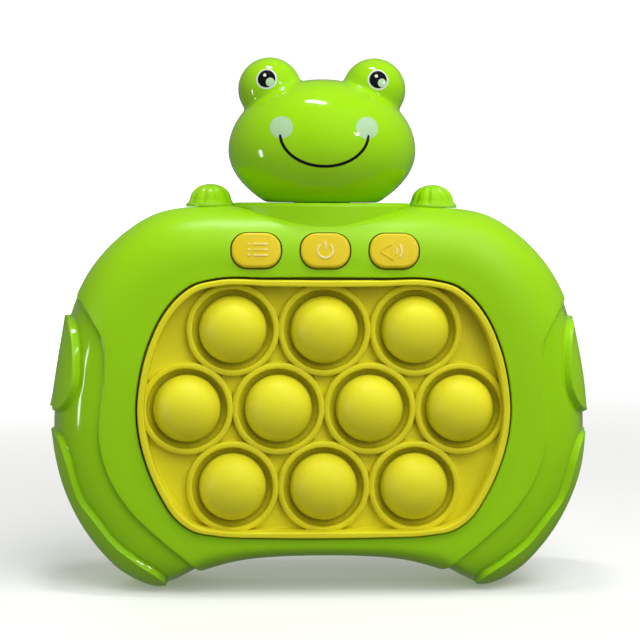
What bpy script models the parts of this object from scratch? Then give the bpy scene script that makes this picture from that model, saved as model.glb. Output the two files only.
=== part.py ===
"""Hand-held bubble pop game with a frog head, ten pressing bubbles and three buttons.

The toy stands on its two legs and faces -Y. A depth is a distance in front of the
plane where the two body shells meet, so whatever lies behind that plane has a
negative depth.
"""

import math

import bmesh
import bpy
import numpy as np
from mathutils import Matrix, Vector

for old in list(bpy.data.objects):
    bpy.data.objects.remove(old, do_unlink=True)

MM = 0.001
DEG = math.pi / 180

# Clearances
gap = 0.3 * MM
slide_gap = 0.4 * MM
overrun = 3.0 * MM
weld_overlap = 0.4 * MM

# Body shells
side_width = 24.8 * MM
chin_height = 7.1 * MM
face_depth = 20.5 * MM
back_depth = 21.0 * MM
wall = 2.0 * MM
sole_cut = 0.5 * MM
body_roundness = 2.5
front_round_share = 0.85
plate_step = 1.0 * MM
plate_lip = 1.2 * MM
step_run = 0.8 * MM
upper_grip_rise = 1.8 * MM
lower_grip_rise = 0.9 * MM
back_flat_side_share = 0.262
back_flat_chin_share = 0.66
back_flat_roundness = 3.5

# How finely the body is drawn, and where its rings lie between outline and flat
body_segments = 72
curve_steps = 12
probe_share = 1e-5
grip_end_share = 0.1
grip_mid_share = 0.4
plate_ring_shares = (0.12, 0.32, 0.6, 1.0)
front_inner_shares = (1.0, 0.8, 0.5, 0.18, 0.0)
back_mid_share = 0.5
back_inner_shares = (1.0, 0.6, 0.3, 0.12, 0.0)

# Half outlines, right side, from the top middle to the bottom middle, as shares of
# the half width and of the height above the soles
outline_shares = (
    (0.0, 1.0), (0.26, 0.999), (0.472, 0.9963), (0.615, 0.977), (0.755, 0.914), (0.861, 0.829),
    (0.921, 0.745), (0.965, 0.628), (0.991, 0.517), (1.0, 0.406), (0.986, 0.314), (0.935, 0.21),
    (0.848, 0.111), (0.742, 0.037), (0.61, 0.0), (0.472, 0.041), (0.3145, 0.074), (0.14, 0.087),
    (0.0, 0.089),
)
plate_line_shares = (
    (0.94, 0.78), (0.852, 0.717), (0.803, 0.656), (0.794, 0.575), (0.81, 0.489), (0.815, 0.4),
    (0.78, 0.311), (0.705, 0.226), (0.586, 0.145), (0.47, 0.073), (0.42, 0.03),
)
upper_grip_shares = ((0.96, 0.73), (0.935, 0.71), (0.9, 0.61), (0.91, 0.527), (0.978, 0.467), (1.01, 0.46))
lower_grip_shares = (
    (1.01, 0.418), (0.982, 0.409), (0.937, 0.351), (0.915, 0.295), (0.885, 0.24), (0.832, 0.194),
    (0.76, 0.132), (0.675, 0.086), (0.58, 0.032), (0.56, -0.01),
)

# Bubble pad
pad_side_margin = 0.75 * MM
pad_end_margin = 1.1 * MM
pad_outline_shares = (
    (0.0, 1.0), (0.3, 1.0), (0.58, 0.995), (0.7, 0.95), (0.785, 0.86), (0.86, 0.726), (0.936, 0.495),
    (0.987, 0.2), (1.0, -0.02), (0.985, -0.23), (0.945, -0.44), (0.87, -0.68), (0.79, -0.85),
    (0.7, -0.94), (0.58, -0.975), (0.3, -0.995), (0.0, -1.0),
)
rim_rise = 1.5 * MM
rim_width = 2.0 * MM
rim_round = 0.5 * MM
flange_width = 1.3 * MM
flange_thickness = 1.2 * MM
floor_sink = 4.7 * MM
floor_thickness = 1.2 * MM
pad_segments = 60

# Bubbles
bubble_rows = (3, 4, 3)
bubble_radius = 9.35 * MM
bubble_height = 8.2 * MM
bubble_wall = 1.2 * MM
bubble_skirt = 0.4 * MM
bubble_travel = 3.0 * MM
groove_width = 1.75 * MM
ridge_width = 1.7 * MM
ridge_overlap = 0.15 * MM
ridge_height = 2.6 * MM
ridge_taper = 0.35 * MM
bubble_segments = 18
dome_turns = (0 * DEG, 30 * DEG, 60 * DEG)
hollow_turns = (0 * DEG, 45 * DEG)

# Light keys and the plate they slide in
key_skirt_step = 0.15 * MM
key_skirt_height = 2.3 * MM
key_flange_width = 1.1 * MM
key_flange_thickness = 1.0 * MM
post_radius = 2.5 * MM
key_segments = 12
# Radius and height of the key's dome, as shares of the room inside the bubble
key_dome_shares = ((0.0, 1.0), (0.42, 0.8), (0.8, 0.42), (0.97, 0.0))

# Main board and its switches
board_thickness = 1.6 * MM
switch_height = 2.7 * MM
switch_body_share = 0.6
switch_side = 6.0 * MM
switch_pin_radius = 1.7 * MM
pin_segments = 8
board_inset = 7.0 * MM
board_edge = 2.0 * MM

# Push buttons
button_names = ("menu", "power", "volume")
button_bridge = 5.44 * MM
button_foot = 3.5 * MM
button_brow = 7.3 * MM
button_width = 13.5 * MM
button_tall = 9.6 * MM
button_corner_share = 0.917
button_tilt = 12 * DEG
button_proud = 0.9 * MM
button_travel = 1.2 * MM
button_edge = 0.7 * MM
button_flange_room = 2.1 * MM
button_flange = 0.7 * MM
button_flange_thickness = 1.0 * MM
button_stem_radius = 1.8 * MM
corner_points = 4

# Neck and head
neck_width_share = 0.959
neck_depth_share = 0.833
neck_rise = 0.7 * MM
neck_skirt = 7.0 * MM
neck_edge = 1.2 * MM
neck_roof = 2.6 * MM
head_half_width = 26.6 * MM
head_half_depth = 21.0 * MM
head_rise = 20.2 * MM
head_drop = 19.2 * MM
head_lift_share = 0.766
head_wall = 2.0 * MM
eye_radius = 9.0 * MM
eye_spacing_share = 0.558
eye_lift_share = 0.861
eye_back = 2.0 * MM
stem_radius = 8.0 * MM
stem_bore = 4.5 * MM
stem_flange_radius = 11.5 * MM
stem_flange_thickness = 2.4 * MM
head_segments = 24
head_levels = 8
hollow_levels = 6
eye_segments = 16
eye_levels = 8

# Shoulder knobs
knob_side = 6.1 * MM
knob_flange_radius = 7.0 * MM
knob_flange_thickness = 1.1 * MM
knob_seat_depth = 0.8 * MM
knob_radius = 6.1 * MM
knob_height = 5.4 * MM
knob_flutes = 10
knob_flute_depth = 0.35 * MM
knob_steps_per_flute = 2
knob_stem_radius = 3.4 * MM
knob_stem_length = 6.0 * MM
knob_profile_shares = ((1.0, 0.0), (0.97, 0.45), (0.82, 0.82), (0.45, 1.0))

# Case screws: the right ones lie at these shares of the pad's half sizes from its middle
screw_place_shares = ((0.97, 0.835), (1.126, -0.06), (0.893, -0.966))
screw_radius = 1.3 * MM
screw_head_radius = 3.0 * MM
screw_head_height = 2.2 * MM
screw_seat_depth = 6.0 * MM
screw_reach = 9.0 * MM
front_boss_radius = 3.4 * MM
back_boss_radius = 5.0 * MM
boss_inset = 0.4 * MM
screw_segments = 12

# Battery bay, door and cells
cell_count = 3
cell_radius = 7.25 * MM
cell_length = 49.2 * MM
cell_nub_radius = 2.75 * MM
cell_nub_length = 1.3 * MM
cell_clearance = 0.6 * MM
contact_room = 3.2 * MM
contact_thickness = 0.5 * MM
contact_width = 7.2 * MM
contact_margin = 1.5 * MM
spring_radius = 3.4 * MM
spring_tip_radius = 1.7 * MM
bay_margin = 1.5 * MM
bay_floor = 1.5 * MM
door_thickness = 2.0 * MM
door_margin = 4.0 * MM
door_foot = 9.5 * MM
door_flat_margin = 2.45 * MM
door_corner = 3.0 * MM
tab_width = 8.0 * MM
tab_spacing = 36.0 * MM
tab_reach = 2.2 * MM
tab_thickness = 1.3 * MM
tab_swing_room = 1.2 * MM
tab_root = 2.4 * MM
door_screw_radius = 1.4 * MM
door_screw_head_radius = 3.0 * MM
door_screw_head_height = 1.6 * MM
door_screw_length = 6.2 * MM
door_screw_sink = 0.1 * MM
door_screw_room = 0.55 * MM
door_boss_radius = 4.2 * MM
door_boss_height = 2.0 * MM

# Speaker
speaker_room = 2.65 * MM
speaker_seat = 0.6 * MM
speaker_radius = 10.0 * MM
speaker_rim = 2.0 * MM
speaker_cone_depth = 2.4 * MM
magnet_radius = 6.0 * MM
magnet_height = 2.6 * MM
grille_slots = 5
grille_slot_width = 1.6 * MM
grille_pitch = 3.2 * MM
grille_margin = 1.2 * MM

# Places that follow from the sizes above. The bubbles set the pad's size, and the pad
# sets the body's: beside it lie the sides, above it the buttons' brow, and below it the
# chin over the arch between the legs.
floor_depth = face_depth - floor_sink
seam_y = (floor_depth + bubble_height - back_depth) / 2
ridge_inner_radius = bubble_radius + groove_width
ridge_outer_radius = ridge_inner_radius + ridge_width
bubble_pitch = 2 * (ridge_outer_radius - ridge_overlap)
row_step = bubble_pitch * math.sqrt(3) / 2
pad_half_width = (max(bubble_rows) - 1) / 2 * bubble_pitch + ridge_outer_radius + pad_side_margin
pad_half_height = row_step + ridge_outer_radius + pad_end_margin
brow_height = button_foot + button_tall + button_brow
arch_share = outline_shares[-1][1]
body_half_width = pad_half_width + side_width
body_height = (chin_height + 2 * pad_half_height + brow_height) / (1 - arch_share) - sole_cut
pad_height = body_height - brow_height - pad_half_height
back_flat_half_width = pad_half_width + back_flat_side_share * side_width
back_flat_half_height = pad_half_height + back_flat_chin_share * chin_height
neck_half_width = neck_width_share * head_half_width
neck_depth = neck_depth_share * head_half_depth
neck_top = body_height + neck_rise
neck_bottom = neck_top - neck_skirt
head_height = neck_top + head_lift_share * head_drop
eye_spacing = eye_spacing_share * 2 * head_half_width
eye_height = head_height + eye_lift_share * head_rise
knob_offset = neck_half_width + knob_side
button_pitch = button_width + button_bridge
button_cap_depth = button_proud + wall + button_flange_room
button_corner = button_corner_share * button_tall / 2
button_height = pad_height + pad_half_height + button_foot + button_tall / 2
key_skirt_radius = bubble_radius + key_skirt_step
dome_base = floor_depth - floor_thickness - gap / 3
key_shoulder = dome_base - gap
key_skirt_base = key_shoulder - key_skirt_height
key_base = key_skirt_base - key_flange_thickness
guide_front = key_shoulder
guide_back = key_skirt_base + gap
switch_top = key_base - bubble_travel - gap
board_front = switch_top - switch_height - gap
board_back = board_front - board_thickness
cell_end = (cell_length + cell_nub_length) / 2
cell_pitch = 2 * cell_radius + cell_clearance
bay_half_height = cell_pitch * (cell_count - 1) / 2 + cell_radius + gap
cell_height = pad_height - back_flat_half_height + door_flat_margin + door_foot + bay_half_height
cell_heights = [cell_height + (i - (cell_count - 1) / 2) * cell_pitch for i in range(cell_count)]
bay_half_width = cell_end + contact_room
cell_depth = -(back_depth - door_thickness - gap - cell_radius)
bay_front = cell_depth + cell_radius + gap
door_half_width = bay_half_width + door_margin
door_top = cell_height + bay_half_height + bay_margin
door_bottom = cell_height - bay_half_height - door_foot
door_inner = door_thickness - back_depth
door_screw_place = [(0, (door_bottom + cell_height - bay_half_height) / 2)]
door_screw_top = door_screw_sink - back_depth
door_screw_neck = door_screw_top + door_screw_head_height
door_screw_tip = door_screw_neck + door_screw_length
outside = -back_depth - overrun
grille_reach = (grille_slots - 1) / 2 * grille_pitch + grille_margin
speaker_height = door_top + speaker_room + speaker_radius


def finish(name, color, roughness, metallic=0.0, alpha=1.0):
    """A plain material of one colour."""
    material = bpy.data.materials.new(name)
    material.use_nodes = True
    shader = material.node_tree.nodes["Principled BSDF"]
    shader.inputs["Base Color"].default_value = (*color, 1.0)
    shader.inputs["Roughness"].default_value = roughness
    shader.inputs["Metallic"].default_value = metallic
    shader.inputs["Alpha"].default_value = alpha
    return material


body_green = finish("body_green", (0.23, 0.53, 0.01), 0.45)
gloss_green = finish("gloss_green", (0.25, 0.55, 0.01), 0.12)
pad_yellow = finish("pad_yellow", (0.60, 0.55, 0.02), 0.5)
bubble_yellow = finish("bubble_yellow", (0.72, 0.68, 0.03), 0.45)
button_yellow = finish("button_yellow", (0.75, 0.55, 0.02), 0.35)
key_white = finish("key_white", (0.85, 0.86, 0.84), 0.3, alpha=0.8)
guide_black = finish("guide_black", (0.03, 0.03, 0.03), 0.5)
board_finish = finish("board_finish", (0.02, 0.16, 0.06), 0.4)
switch_black = finish("switch_black", (0.02, 0.02, 0.02), 0.4)
steel = finish("steel", (0.62, 0.62, 0.64), 0.3, metallic=1.0)
cell_wrap = finish("cell_wrap", (0.10, 0.12, 0.15), 0.35)
speaker_black = finish("speaker_black", (0.04, 0.04, 0.045), 0.5)


def row_of(xs, depths, zs):
    """Points from their x, their depth and their height."""
    xs, depths, zs = np.broadcast_arrays(xs, depths, zs)
    return np.stack([xs, seam_y - depths, zs], axis=-1)


def disc(x, z, radius, depth, segments):
    """A ring of points that faces the front."""
    turns = np.arange(segments) * 2 * math.pi / segments
    return row_of(x + radius * np.cos(turns), depth, z + radius * np.sin(turns))


def level_ring(x, z, half_width, half_depth, segments, depth=0.0):
    """A level ellipse of points at height z."""
    turns = np.arange(segments) * 2 * math.pi / segments
    return row_of(x + half_width * np.cos(turns), depth + half_depth * np.sin(turns), z)


def add_rings(bm, rings, closed=False):
    """Bridges rings of equal length. A ring of one point is a pole, and an open end is capped."""
    made = [[bm.verts.new(point) for point in np.atleast_2d(ring)] for ring in rings]
    pairs = list(zip(made, made[1:] + made[:1]))
    if not closed:
        pairs.pop()
    for low, high in pairs:
        count = max(len(low), len(high))
        for i in range(count):
            j = (i + 1) % count
            corners = [low[i % len(low)], low[j % len(low)], high[j % len(high)], high[i % len(high)]]
            bm.faces.new(list(dict.fromkeys(corners)))
    if not closed:
        for end in (made[0], made[-1]):
            if len(end) > 1:
                bm.faces.new(end)


def add_block(bm, low, high):
    """A box between two corners given as x, depth and z."""
    (x0, d0, z0), (x1, d1, z1) = low, high
    corners = ((x0, z0), (x1, z0), (x1, z1), (x0, z1))
    xs, zs = np.array(corners).T
    add_rings(bm, [row_of(xs, d0, zs), row_of(xs, d1, zs)])


def to_object(name, bm, material=None, smooth_angle=40 * DEG):
    """Turns the mesh into an object. With no material it is a tool, which stays out of the render."""
    bmesh.ops.recalc_face_normals(bm, faces=bm.faces[:])
    mesh = bpy.data.meshes.new(name)
    bm.to_mesh(mesh)
    bm.free()
    made = bpy.data.objects.new(name, mesh)
    bpy.context.scene.collection.objects.link(made)
    if material is None:
        made.hide_render = True
        made.display_type = "WIRE"
    else:
        mesh.materials.append(material)
        mesh.shade_smooth()
        mesh.set_sharp_from_angle(angle=smooth_angle)
    return made


def solid(name, rings, material=None, closed=False):
    """One object from one run of rings."""
    bm = bmesh.new()
    add_rings(bm, rings, closed)
    return to_object(name, bm, material)


def blocks(name, pairs, material=None):
    """One object from boxes that do not touch."""
    bm = bmesh.new()
    for low, high in pairs:
        add_block(bm, low, high)
    return to_object(name, bm, material)


def turned(name, places, profile, segments, material=None):
    """One turned shape at each (x, z) place, from a profile of (radius, depth)."""
    bm = bmesh.new()
    for x, z in places:
        rings = [disc(x, z, r, depth, segments if r else 1) for r, depth in profile]
        add_rings(bm, rings)
    return to_object(name, bm, material)


def work(target, tool, operation):
    """Cuts the tool from the target, or joins it on."""
    boolean = target.modifiers.new(tool.name, "BOOLEAN")
    boolean.operation = operation
    boolean.solver = "EXACT"
    boolean.object = tool


def cut(target, *tools):
    for tool in tools:
        work(target, tool, "DIFFERENCE")


def join(target, *tools):
    for tool in tools:
        work(target, tool, "UNION")


def smooth_loop(points):
    """A closed curve through the points: cubic spans, with each slope weighing both
    neighbours by their distance."""
    here = np.array(points, float)
    after = np.roll(here, -1, axis=0)
    before = np.roll(here, 1, axis=0)
    ahead = np.linalg.norm(after - here, axis=1, keepdims=True)
    behind = np.linalg.norm(here - before, axis=1, keepdims=True)
    slope = (after - here) / ahead * behind + (here - before) / behind * ahead
    slope = slope / (ahead + behind)
    t = (np.arange(curve_steps) / curve_steps)[:, None, None]
    curve = (2 * t**3 - 3 * t**2 + 1) * here
    curve = curve + (t**3 - 2 * t**2 + t) * ahead * slope
    curve = curve + (3 * t**2 - 2 * t**3) * after
    curve = curve + (t**3 - t**2) * ahead * np.roll(slope, -1, axis=0)
    return curve.transpose(1, 0, 2).reshape(-1, 2)


def both_sides(half):
    """A whole outline from its right half, which runs from the top to the bottom middle."""
    right = np.array(half)
    return np.concatenate([right, right[-2:0:-1] * (-1, 1)])


def on_body(shares):
    """Shares of the body's half width and height as places, with the soles' cut added below."""
    return np.array(shares) * (body_half_width, body_height + sole_cut) - (0, sole_cut)


body_outline = smooth_loop(both_sides(on_body(outline_shares)))
pad_outline = smooth_loop(
    both_sides(np.array(pad_outline_shares) * (pad_half_width, pad_half_height) + (0, pad_height))
)


def reach(curve, angles):
    """How far a closed curve lies from the pad's middle, at angles measured from the top."""
    off = curve - (0, pad_height)
    turns = np.arctan2(off[:, 0], off[:, 1])
    order = np.argsort(turns)
    return np.interp(angles, turns[order], np.hypot(*off.T)[order], period=2 * math.pi)


def line_reach(shares, angles):
    """The same for a line on the right side, with its twin on the left. Elsewhere it is far away."""
    line = smooth_loop(on_body(shares))[: 1 - curve_steps]
    off = line - (0, pad_height)
    turns = np.arctan2(off[:, 0], off[:, 1])
    far = 2 * body_half_width
    across = np.abs((angles + math.pi) % (2 * math.pi) - math.pi)
    return np.interp(across, turns, np.hypot(*off.T), left=far, right=far)


def swell(share):
    """The rounding between two flats: a power curve from 0 at the edge to 1."""
    share = np.clip(share, 0, 1)
    return (1 - (1 - share) ** body_roundness) ** (1 / body_roundness)


def back_flat_reach(angles):
    """Where the back's flat starts: a power ellipse round the pad's middle."""
    across = np.abs(np.sin(angles)) / back_flat_half_width
    up = np.abs(np.cos(angles)) / back_flat_half_height
    return (across**back_flat_roundness + up**back_flat_roundness) ** (-1 / back_flat_roundness)


def front_skin(angles, share, inset=0.0):
    """The front face, at a share of the way from the outline to the pad's aperture."""
    edge = reach(body_outline, angles) - inset
    mouth = reach(pad_outline, angles) + slide_gap
    out = edge - share * (edge - mouth)
    full = face_depth - inset - gap / 2
    depth = gap / 2 + full * swell(share / front_round_share)
    return row_of(out * np.sin(angles), depth, pad_height + out * np.cos(angles))


def back_skin(angles, share, inset=0.0):
    """The back face, at a share of the way from the outline to the back's flat."""
    edge = reach(body_outline, angles) - inset
    flat = back_flat_reach(angles) - inset / 2
    out = edge - share * (edge - flat)
    full = back_depth - inset - gap / 2
    depth = -gap / 2 - full * swell(share)
    return row_of(out * np.sin(angles), depth, pad_height + out * np.cos(angles))


def raised(skin, facing, share, rise):
    """Points of a skin, moved along its normal by the rise."""
    here = skin(angles, share)
    along = skin(angles + probe_share, share) - skin(angles - probe_share, share)
    inward = skin(angles, share + probe_share) - here
    normal = np.cross(inward, along) * facing
    normal = normal / np.linalg.norm(normal, axis=1, keepdims=True)
    return here + normal * rise[:, None]


def grips_on(span):
    """Where the grips end, as a share of the span inwards from the outline, and how proud they stand."""
    share = flat + grip_end_share
    rise = flat
    for line, proud in ((upper_grip_shares, upper_grip_rise), (lower_grip_shares, lower_grip_rise)):
        inward = (outline_reach - line_reach(line, angles)) / span
        rise = np.where(inward > grip_end_share, proud, rise)
        share = np.maximum(share, inward)
    return share, rise


angles = np.arange(body_segments) * 2 * math.pi / body_segments
outline_reach = reach(body_outline, angles)
flat = np.zeros(body_segments)


def front_shell_rings():
    """Outer rings from the parting plane to the aperture, then inner rings back again."""
    span = outline_reach - reach(pad_outline, angles) - slide_gap
    plate = np.minimum(outline_reach - plate_lip, line_reach(plate_line_shares, angles))
    low = np.where(plate < outline_reach - 2 * plate_lip, -plate_step, 0)
    plate = (outline_reach - plate) / span
    edge, grip = grips_on(span)
    edge = np.minimum(edge, plate / 2)
    run = np.minimum(step_run / 2 / span, edge / 3)
    outer = [
        (flat, grip), (edge * grip_mid_share, grip), (edge - run, grip + low), (edge + run, low),
        ((edge + plate) / 2, low), (plate - run, low), (plate + run, flat),
    ]
    outer += [(plate + (1 - plate) * part, flat) for part in plate_ring_shares]
    rings = [raised(front_skin, 1, share, rise) for share, rise in outer]
    return rings + [front_skin(angles, part, wall) for part in front_inner_shares]


def back_shell_rings():
    """Inner rings from the back's flat to the parting plane, then outer rings back again."""
    span = outline_reach - back_flat_reach(angles)
    edge, grip = grips_on(span)
    run = np.minimum(step_run / 2 / span, edge / 3)
    rings = [back_skin(angles, part, wall) for part in back_inner_shares]
    outer = [
        (flat, grip), (edge * grip_mid_share, grip), (edge - run, grip), (edge + run, flat),
        (edge + (1 - edge) * back_mid_share, flat), (flat + 1, flat),
    ]
    return rings + [raised(back_skin, -1, share, rise) for share, rise in outer]


def front_depth_at(x, z):
    """How deep the front face lies at a place."""
    angle = np.array([math.atan2(x, z - pad_height)])
    edge = reach(body_outline, angle)
    mouth = reach(pad_outline, angle) + slide_gap
    share = (edge - math.hypot(x, z - pad_height)) / (edge - mouth)
    return float(face_depth * swell(share / front_round_share)[0])


def back_depth_at(x, z, inset=0.0):
    """How far behind the parting plane the back face lies at a place."""
    angle = np.array([math.atan2(x, z - pad_height)])
    edge = reach(body_outline, angle) - inset
    flat_edge = back_flat_reach(angle) - inset / 2
    share = (edge - math.hypot(x, z - pad_height)) / (edge - flat_edge)
    return float((back_depth - inset) * swell(share)[0])


def back_room_at(x, z):
    """How far behind the parting plane the rear shell's inner face lies at a place."""
    return back_depth_at(x, z, wall)


def top_height_at(x):
    """The height of the body's top line."""
    top = body_outline[body_outline[:, 1] > pad_height]
    order = np.argsort(top[:, 0])
    return float(np.interp(x, top[order, 0], top[order, 1]))


def least_over(depth_at, x, z, radius):
    """The least depth of a face over a disc."""
    rim = disc(x, z, radius, 0, screw_segments)
    return min(depth_at(rim_x, rim_z) for rim_x, rim_z in rim[:, (0, 2)])


bubble_places = [
    ((i - (count - 1) / 2) * bubble_pitch, pad_height + (1 - row) * row_step)
    for row, count in enumerate(bubble_rows)
    for i in range(count)
]
screws = [
    (side * across * pad_half_width, pad_height + up * pad_half_height)
    for across, up in screw_place_shares
    for side in (1, -1)
]
button_xs = [(i - 1) * button_pitch for i in range(len(button_names))]
button_depth = front_depth_at(0, button_height) + button_proud
stem_room = button_depth - switch_top - button_stem_radius * math.sin(button_tilt)
stem_end = stem_room / math.cos(button_tilt) - button_travel - gap
button_switch_height = button_height - (stem_end + button_travel) * math.sin(button_tilt)
knob_seat = top_height_at(knob_offset) - knob_seat_depth
stem_flange_top = neck_top - neck_roof - gap
stem_bottom = stem_flange_top - stem_flange_thickness
head_base = neck_top + gap
speaker_front = speaker_seat - least_over(back_room_at, 0, speaker_height, speaker_radius)


def upright(name, x, radius, low, high, segments):
    """An upright cylinder, as a tool."""
    return solid(name, [level_ring(x, z, radius, radius, segments) for z in (low, high)])


def half_column(name, side, inset, levels):
    """Half of the neck's elliptical column, from its (height, further inset) levels."""
    turns = np.linspace(0, math.pi, head_segments // 2 + 1)
    rings = []
    for z, edge in levels:
        xs = (neck_half_width - inset - edge) * np.cos(turns)
        depths = gap / 2 + (neck_depth - gap / 2 - inset - edge) * np.sin(turns)
        rings.append(row_of(xs, side * depths, z))
    return solid(name, rings)


def neck_on(shell, side, label):
    """Adds one shell's half of the hollow neck under the head, and seats for the head and the knobs."""
    levels = ((neck_bottom, 0), (neck_top - neck_edge, 0), (neck_top, neck_edge))
    join(shell, half_column("tool_neck_" + label, side, 0, levels))
    levels = ((neck_bottom - overrun, 0), (neck_top - neck_roof, 0))
    above = neck_top + overrun
    cut(
        shell,
        half_column("tool_neck_hollow_" + label, side, wall, levels),
        upright("tool_neck_bore_" + label, 0, stem_radius + gap, neck_bottom, above, eye_segments),
    )
    for sign, hand in ((1, "right"), (-1, "left")):
        x = sign * knob_offset
        tag = label + "_" + hand
        below = knob_seat - wall - overrun
        cut(
            shell,
            upright("tool_knob_seat_" + tag, x, knob_flange_radius + gap, knob_seat, above, key_segments),
            upright("tool_knob_hole_" + tag, x, knob_stem_radius + gap, below, above, key_segments),
        )


def screw_bosses(label, radius, depth_at, side, inset):
    """Bosses from the parting plane to inside a shell's wall, one at each case screw."""
    bm = bmesh.new()
    for x, z in screws:
        root = least_over(depth_at, x, z, radius) - inset
        add_rings(bm, [disc(x, z, radius, side * d, screw_segments) for d in (gap / 2, root)])
    return to_object("tool_bosses_" + label, bm)


def rounded_rectangle(half_width, half_height, corner):
    """A rectangle with round corners, as points (x, z) round its middle."""
    turns = np.linspace(0, math.pi / 2, corner_points)
    points = []
    for i, (side, end) in enumerate(((1, 1), (-1, 1), (-1, -1), (1, -1))):
        turn = turns + i * math.pi / 2
        xs = side * (half_width - corner) + corner * np.cos(turn)
        zs = end * (half_height - corner) + corner * np.sin(turn)
        points.append(np.stack([xs, zs], axis=1))
    return np.concatenate(points)


def button_outline(grow):
    """A button's outline, grown by an amount."""
    return rounded_rectangle(button_width / 2 + grow, button_tall / 2 + grow, button_corner + grow)


def along_button(outline, back):
    """A ring of (x, z) points at a distance behind the button's face, in the button's own axes."""
    return np.stack([outline[:, 0], np.full(len(outline), back), outline[:, 1]], axis=1)


def place_on_button_axis(piece, x):
    """A button presses along an axis that tilts with the face of the shell."""
    piece.location = (x, seam_y - button_depth, button_height)
    piece.rotation_euler = (-button_tilt, 0, 0)
    return piece


def set_origin(piece, x, depth, z):
    """Puts a piece's origin at a place on its joint's axis, and leaves its shape where it is."""
    origin = Vector((x, seam_y - depth, z))
    piece.data.transform(Matrix.Translation(-origin))
    piece.location = origin


def door_outline(grow):
    """The battery door's outline, grown by an amount."""
    half_height = (door_top - door_bottom) / 2
    outline = rounded_rectangle(door_half_width + grow, half_height + grow, door_corner + grow)
    return outline + (0, door_bottom + half_height)


def tab_boxes(grow, low_depth, high_depth, low_z, high_z):
    """A box at each of the battery door's two tabs, grown sideways by an amount."""
    half = tab_width / 2 + grow
    xs = [side * tab_spacing / 2 for side in (1, -1)]
    return [((x - half, low_depth, low_z), (x + half, high_depth, high_z)) for x in xs]


def grille_boxes():
    """The slots in front of the speaker, which follow its round shape."""
    boxes = []
    for i in range(grille_slots):
        x = (i - (grille_slots - 1) / 2) * grille_pitch
        half = math.sqrt(grille_reach**2 - x**2)
        low = (x - grille_slot_width / 2, outside, speaker_height - half)
        boxes.append((low, (x + grille_slot_width / 2, speaker_front, speaker_height + half)))
    return boxes


def make_front_shell():
    shell = solid("front_shell", front_shell_rings(), body_green, closed=True)
    join(shell, screw_bosses("front", front_boss_radius, front_depth_at, 1, plate_step + boss_inset))
    neck_on(shell, 1, "front")
    pilot = ((screw_radius + gap, -overrun), (screw_radius + gap, screw_reach + gap))
    cut(shell, turned("tool_pilot_holes", screws, pilot, screw_segments))
    for name, x in zip(button_names, button_xs):
        outline = button_outline(slide_gap)
        hole = [along_button(outline, back) for back in (-overrun, button_cap_depth)]
        cut(shell, place_on_button_axis(solid(f"tool_{name}_hole", hole), x))
    cut(shell, soles)


def make_rear_shell():
    shell = solid("rear_shell", back_shell_rings(), body_green)
    join(shell, screw_bosses("rear", back_boss_radius, back_depth_at, -1, boss_inset))
    block_half_width = door_half_width + bay_margin
    low = (-block_half_width, boss_inset - back_depth, door_bottom - bay_margin)
    high = (block_half_width, bay_front + bay_floor, door_top + bay_margin)
    join(shell, blocks("tool_bay_block", [(low, high)]))
    neck_on(shell, -1, "rear")

    head_room = screw_head_radius + gap
    shank_room = screw_radius + gap
    well = ((head_room, -screw_seat_depth), (head_room, outside))
    shank = ((shank_room, overrun), (shank_room, -screw_seat_depth - gap))
    cut(shell, turned("tool_screw_wells", screws, well, screw_segments))
    cut(shell, turned("tool_shank_holes", screws, shank, screw_segments))

    low = (-bay_half_width, outside, cell_height - bay_half_height)
    cut(shell, blocks("tool_bay", [(low, (bay_half_width, bay_front, cell_height + bay_half_height))]))
    outline = door_outline(gap)
    recess = [row_of(outline[:, 0], depth, outline[:, 1]) for depth in (outside, door_inner + gap)]
    cut(shell, solid("tool_door_recess", recess))
    tab_back = door_inner + slide_gap - gap
    tab_front = door_inner + slide_gap + tab_thickness + tab_swing_room
    low_z = door_top - tab_root - gap
    pockets = tab_boxes(slide_gap, tab_back, tab_front, low_z, door_top + tab_reach + gap)
    cut(shell, blocks("tool_tab_pockets", pockets))

    boss_room = door_boss_radius + slide_gap
    hole_room = door_screw_radius + door_screw_room
    boss = ((boss_room, outside), (boss_room, door_inner + door_boss_height + gap))
    hole = ((hole_room, outside), (hole_room, door_screw_tip + slide_gap))
    cut(shell, turned("tool_door_boss_room", door_screw_place, boss, screw_segments))
    cut(shell, turned("tool_door_screw_room", door_screw_place, hole, screw_segments))
    cut(shell, blocks("tool_grille", grille_boxes()))
    cut(shell, soles)


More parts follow.
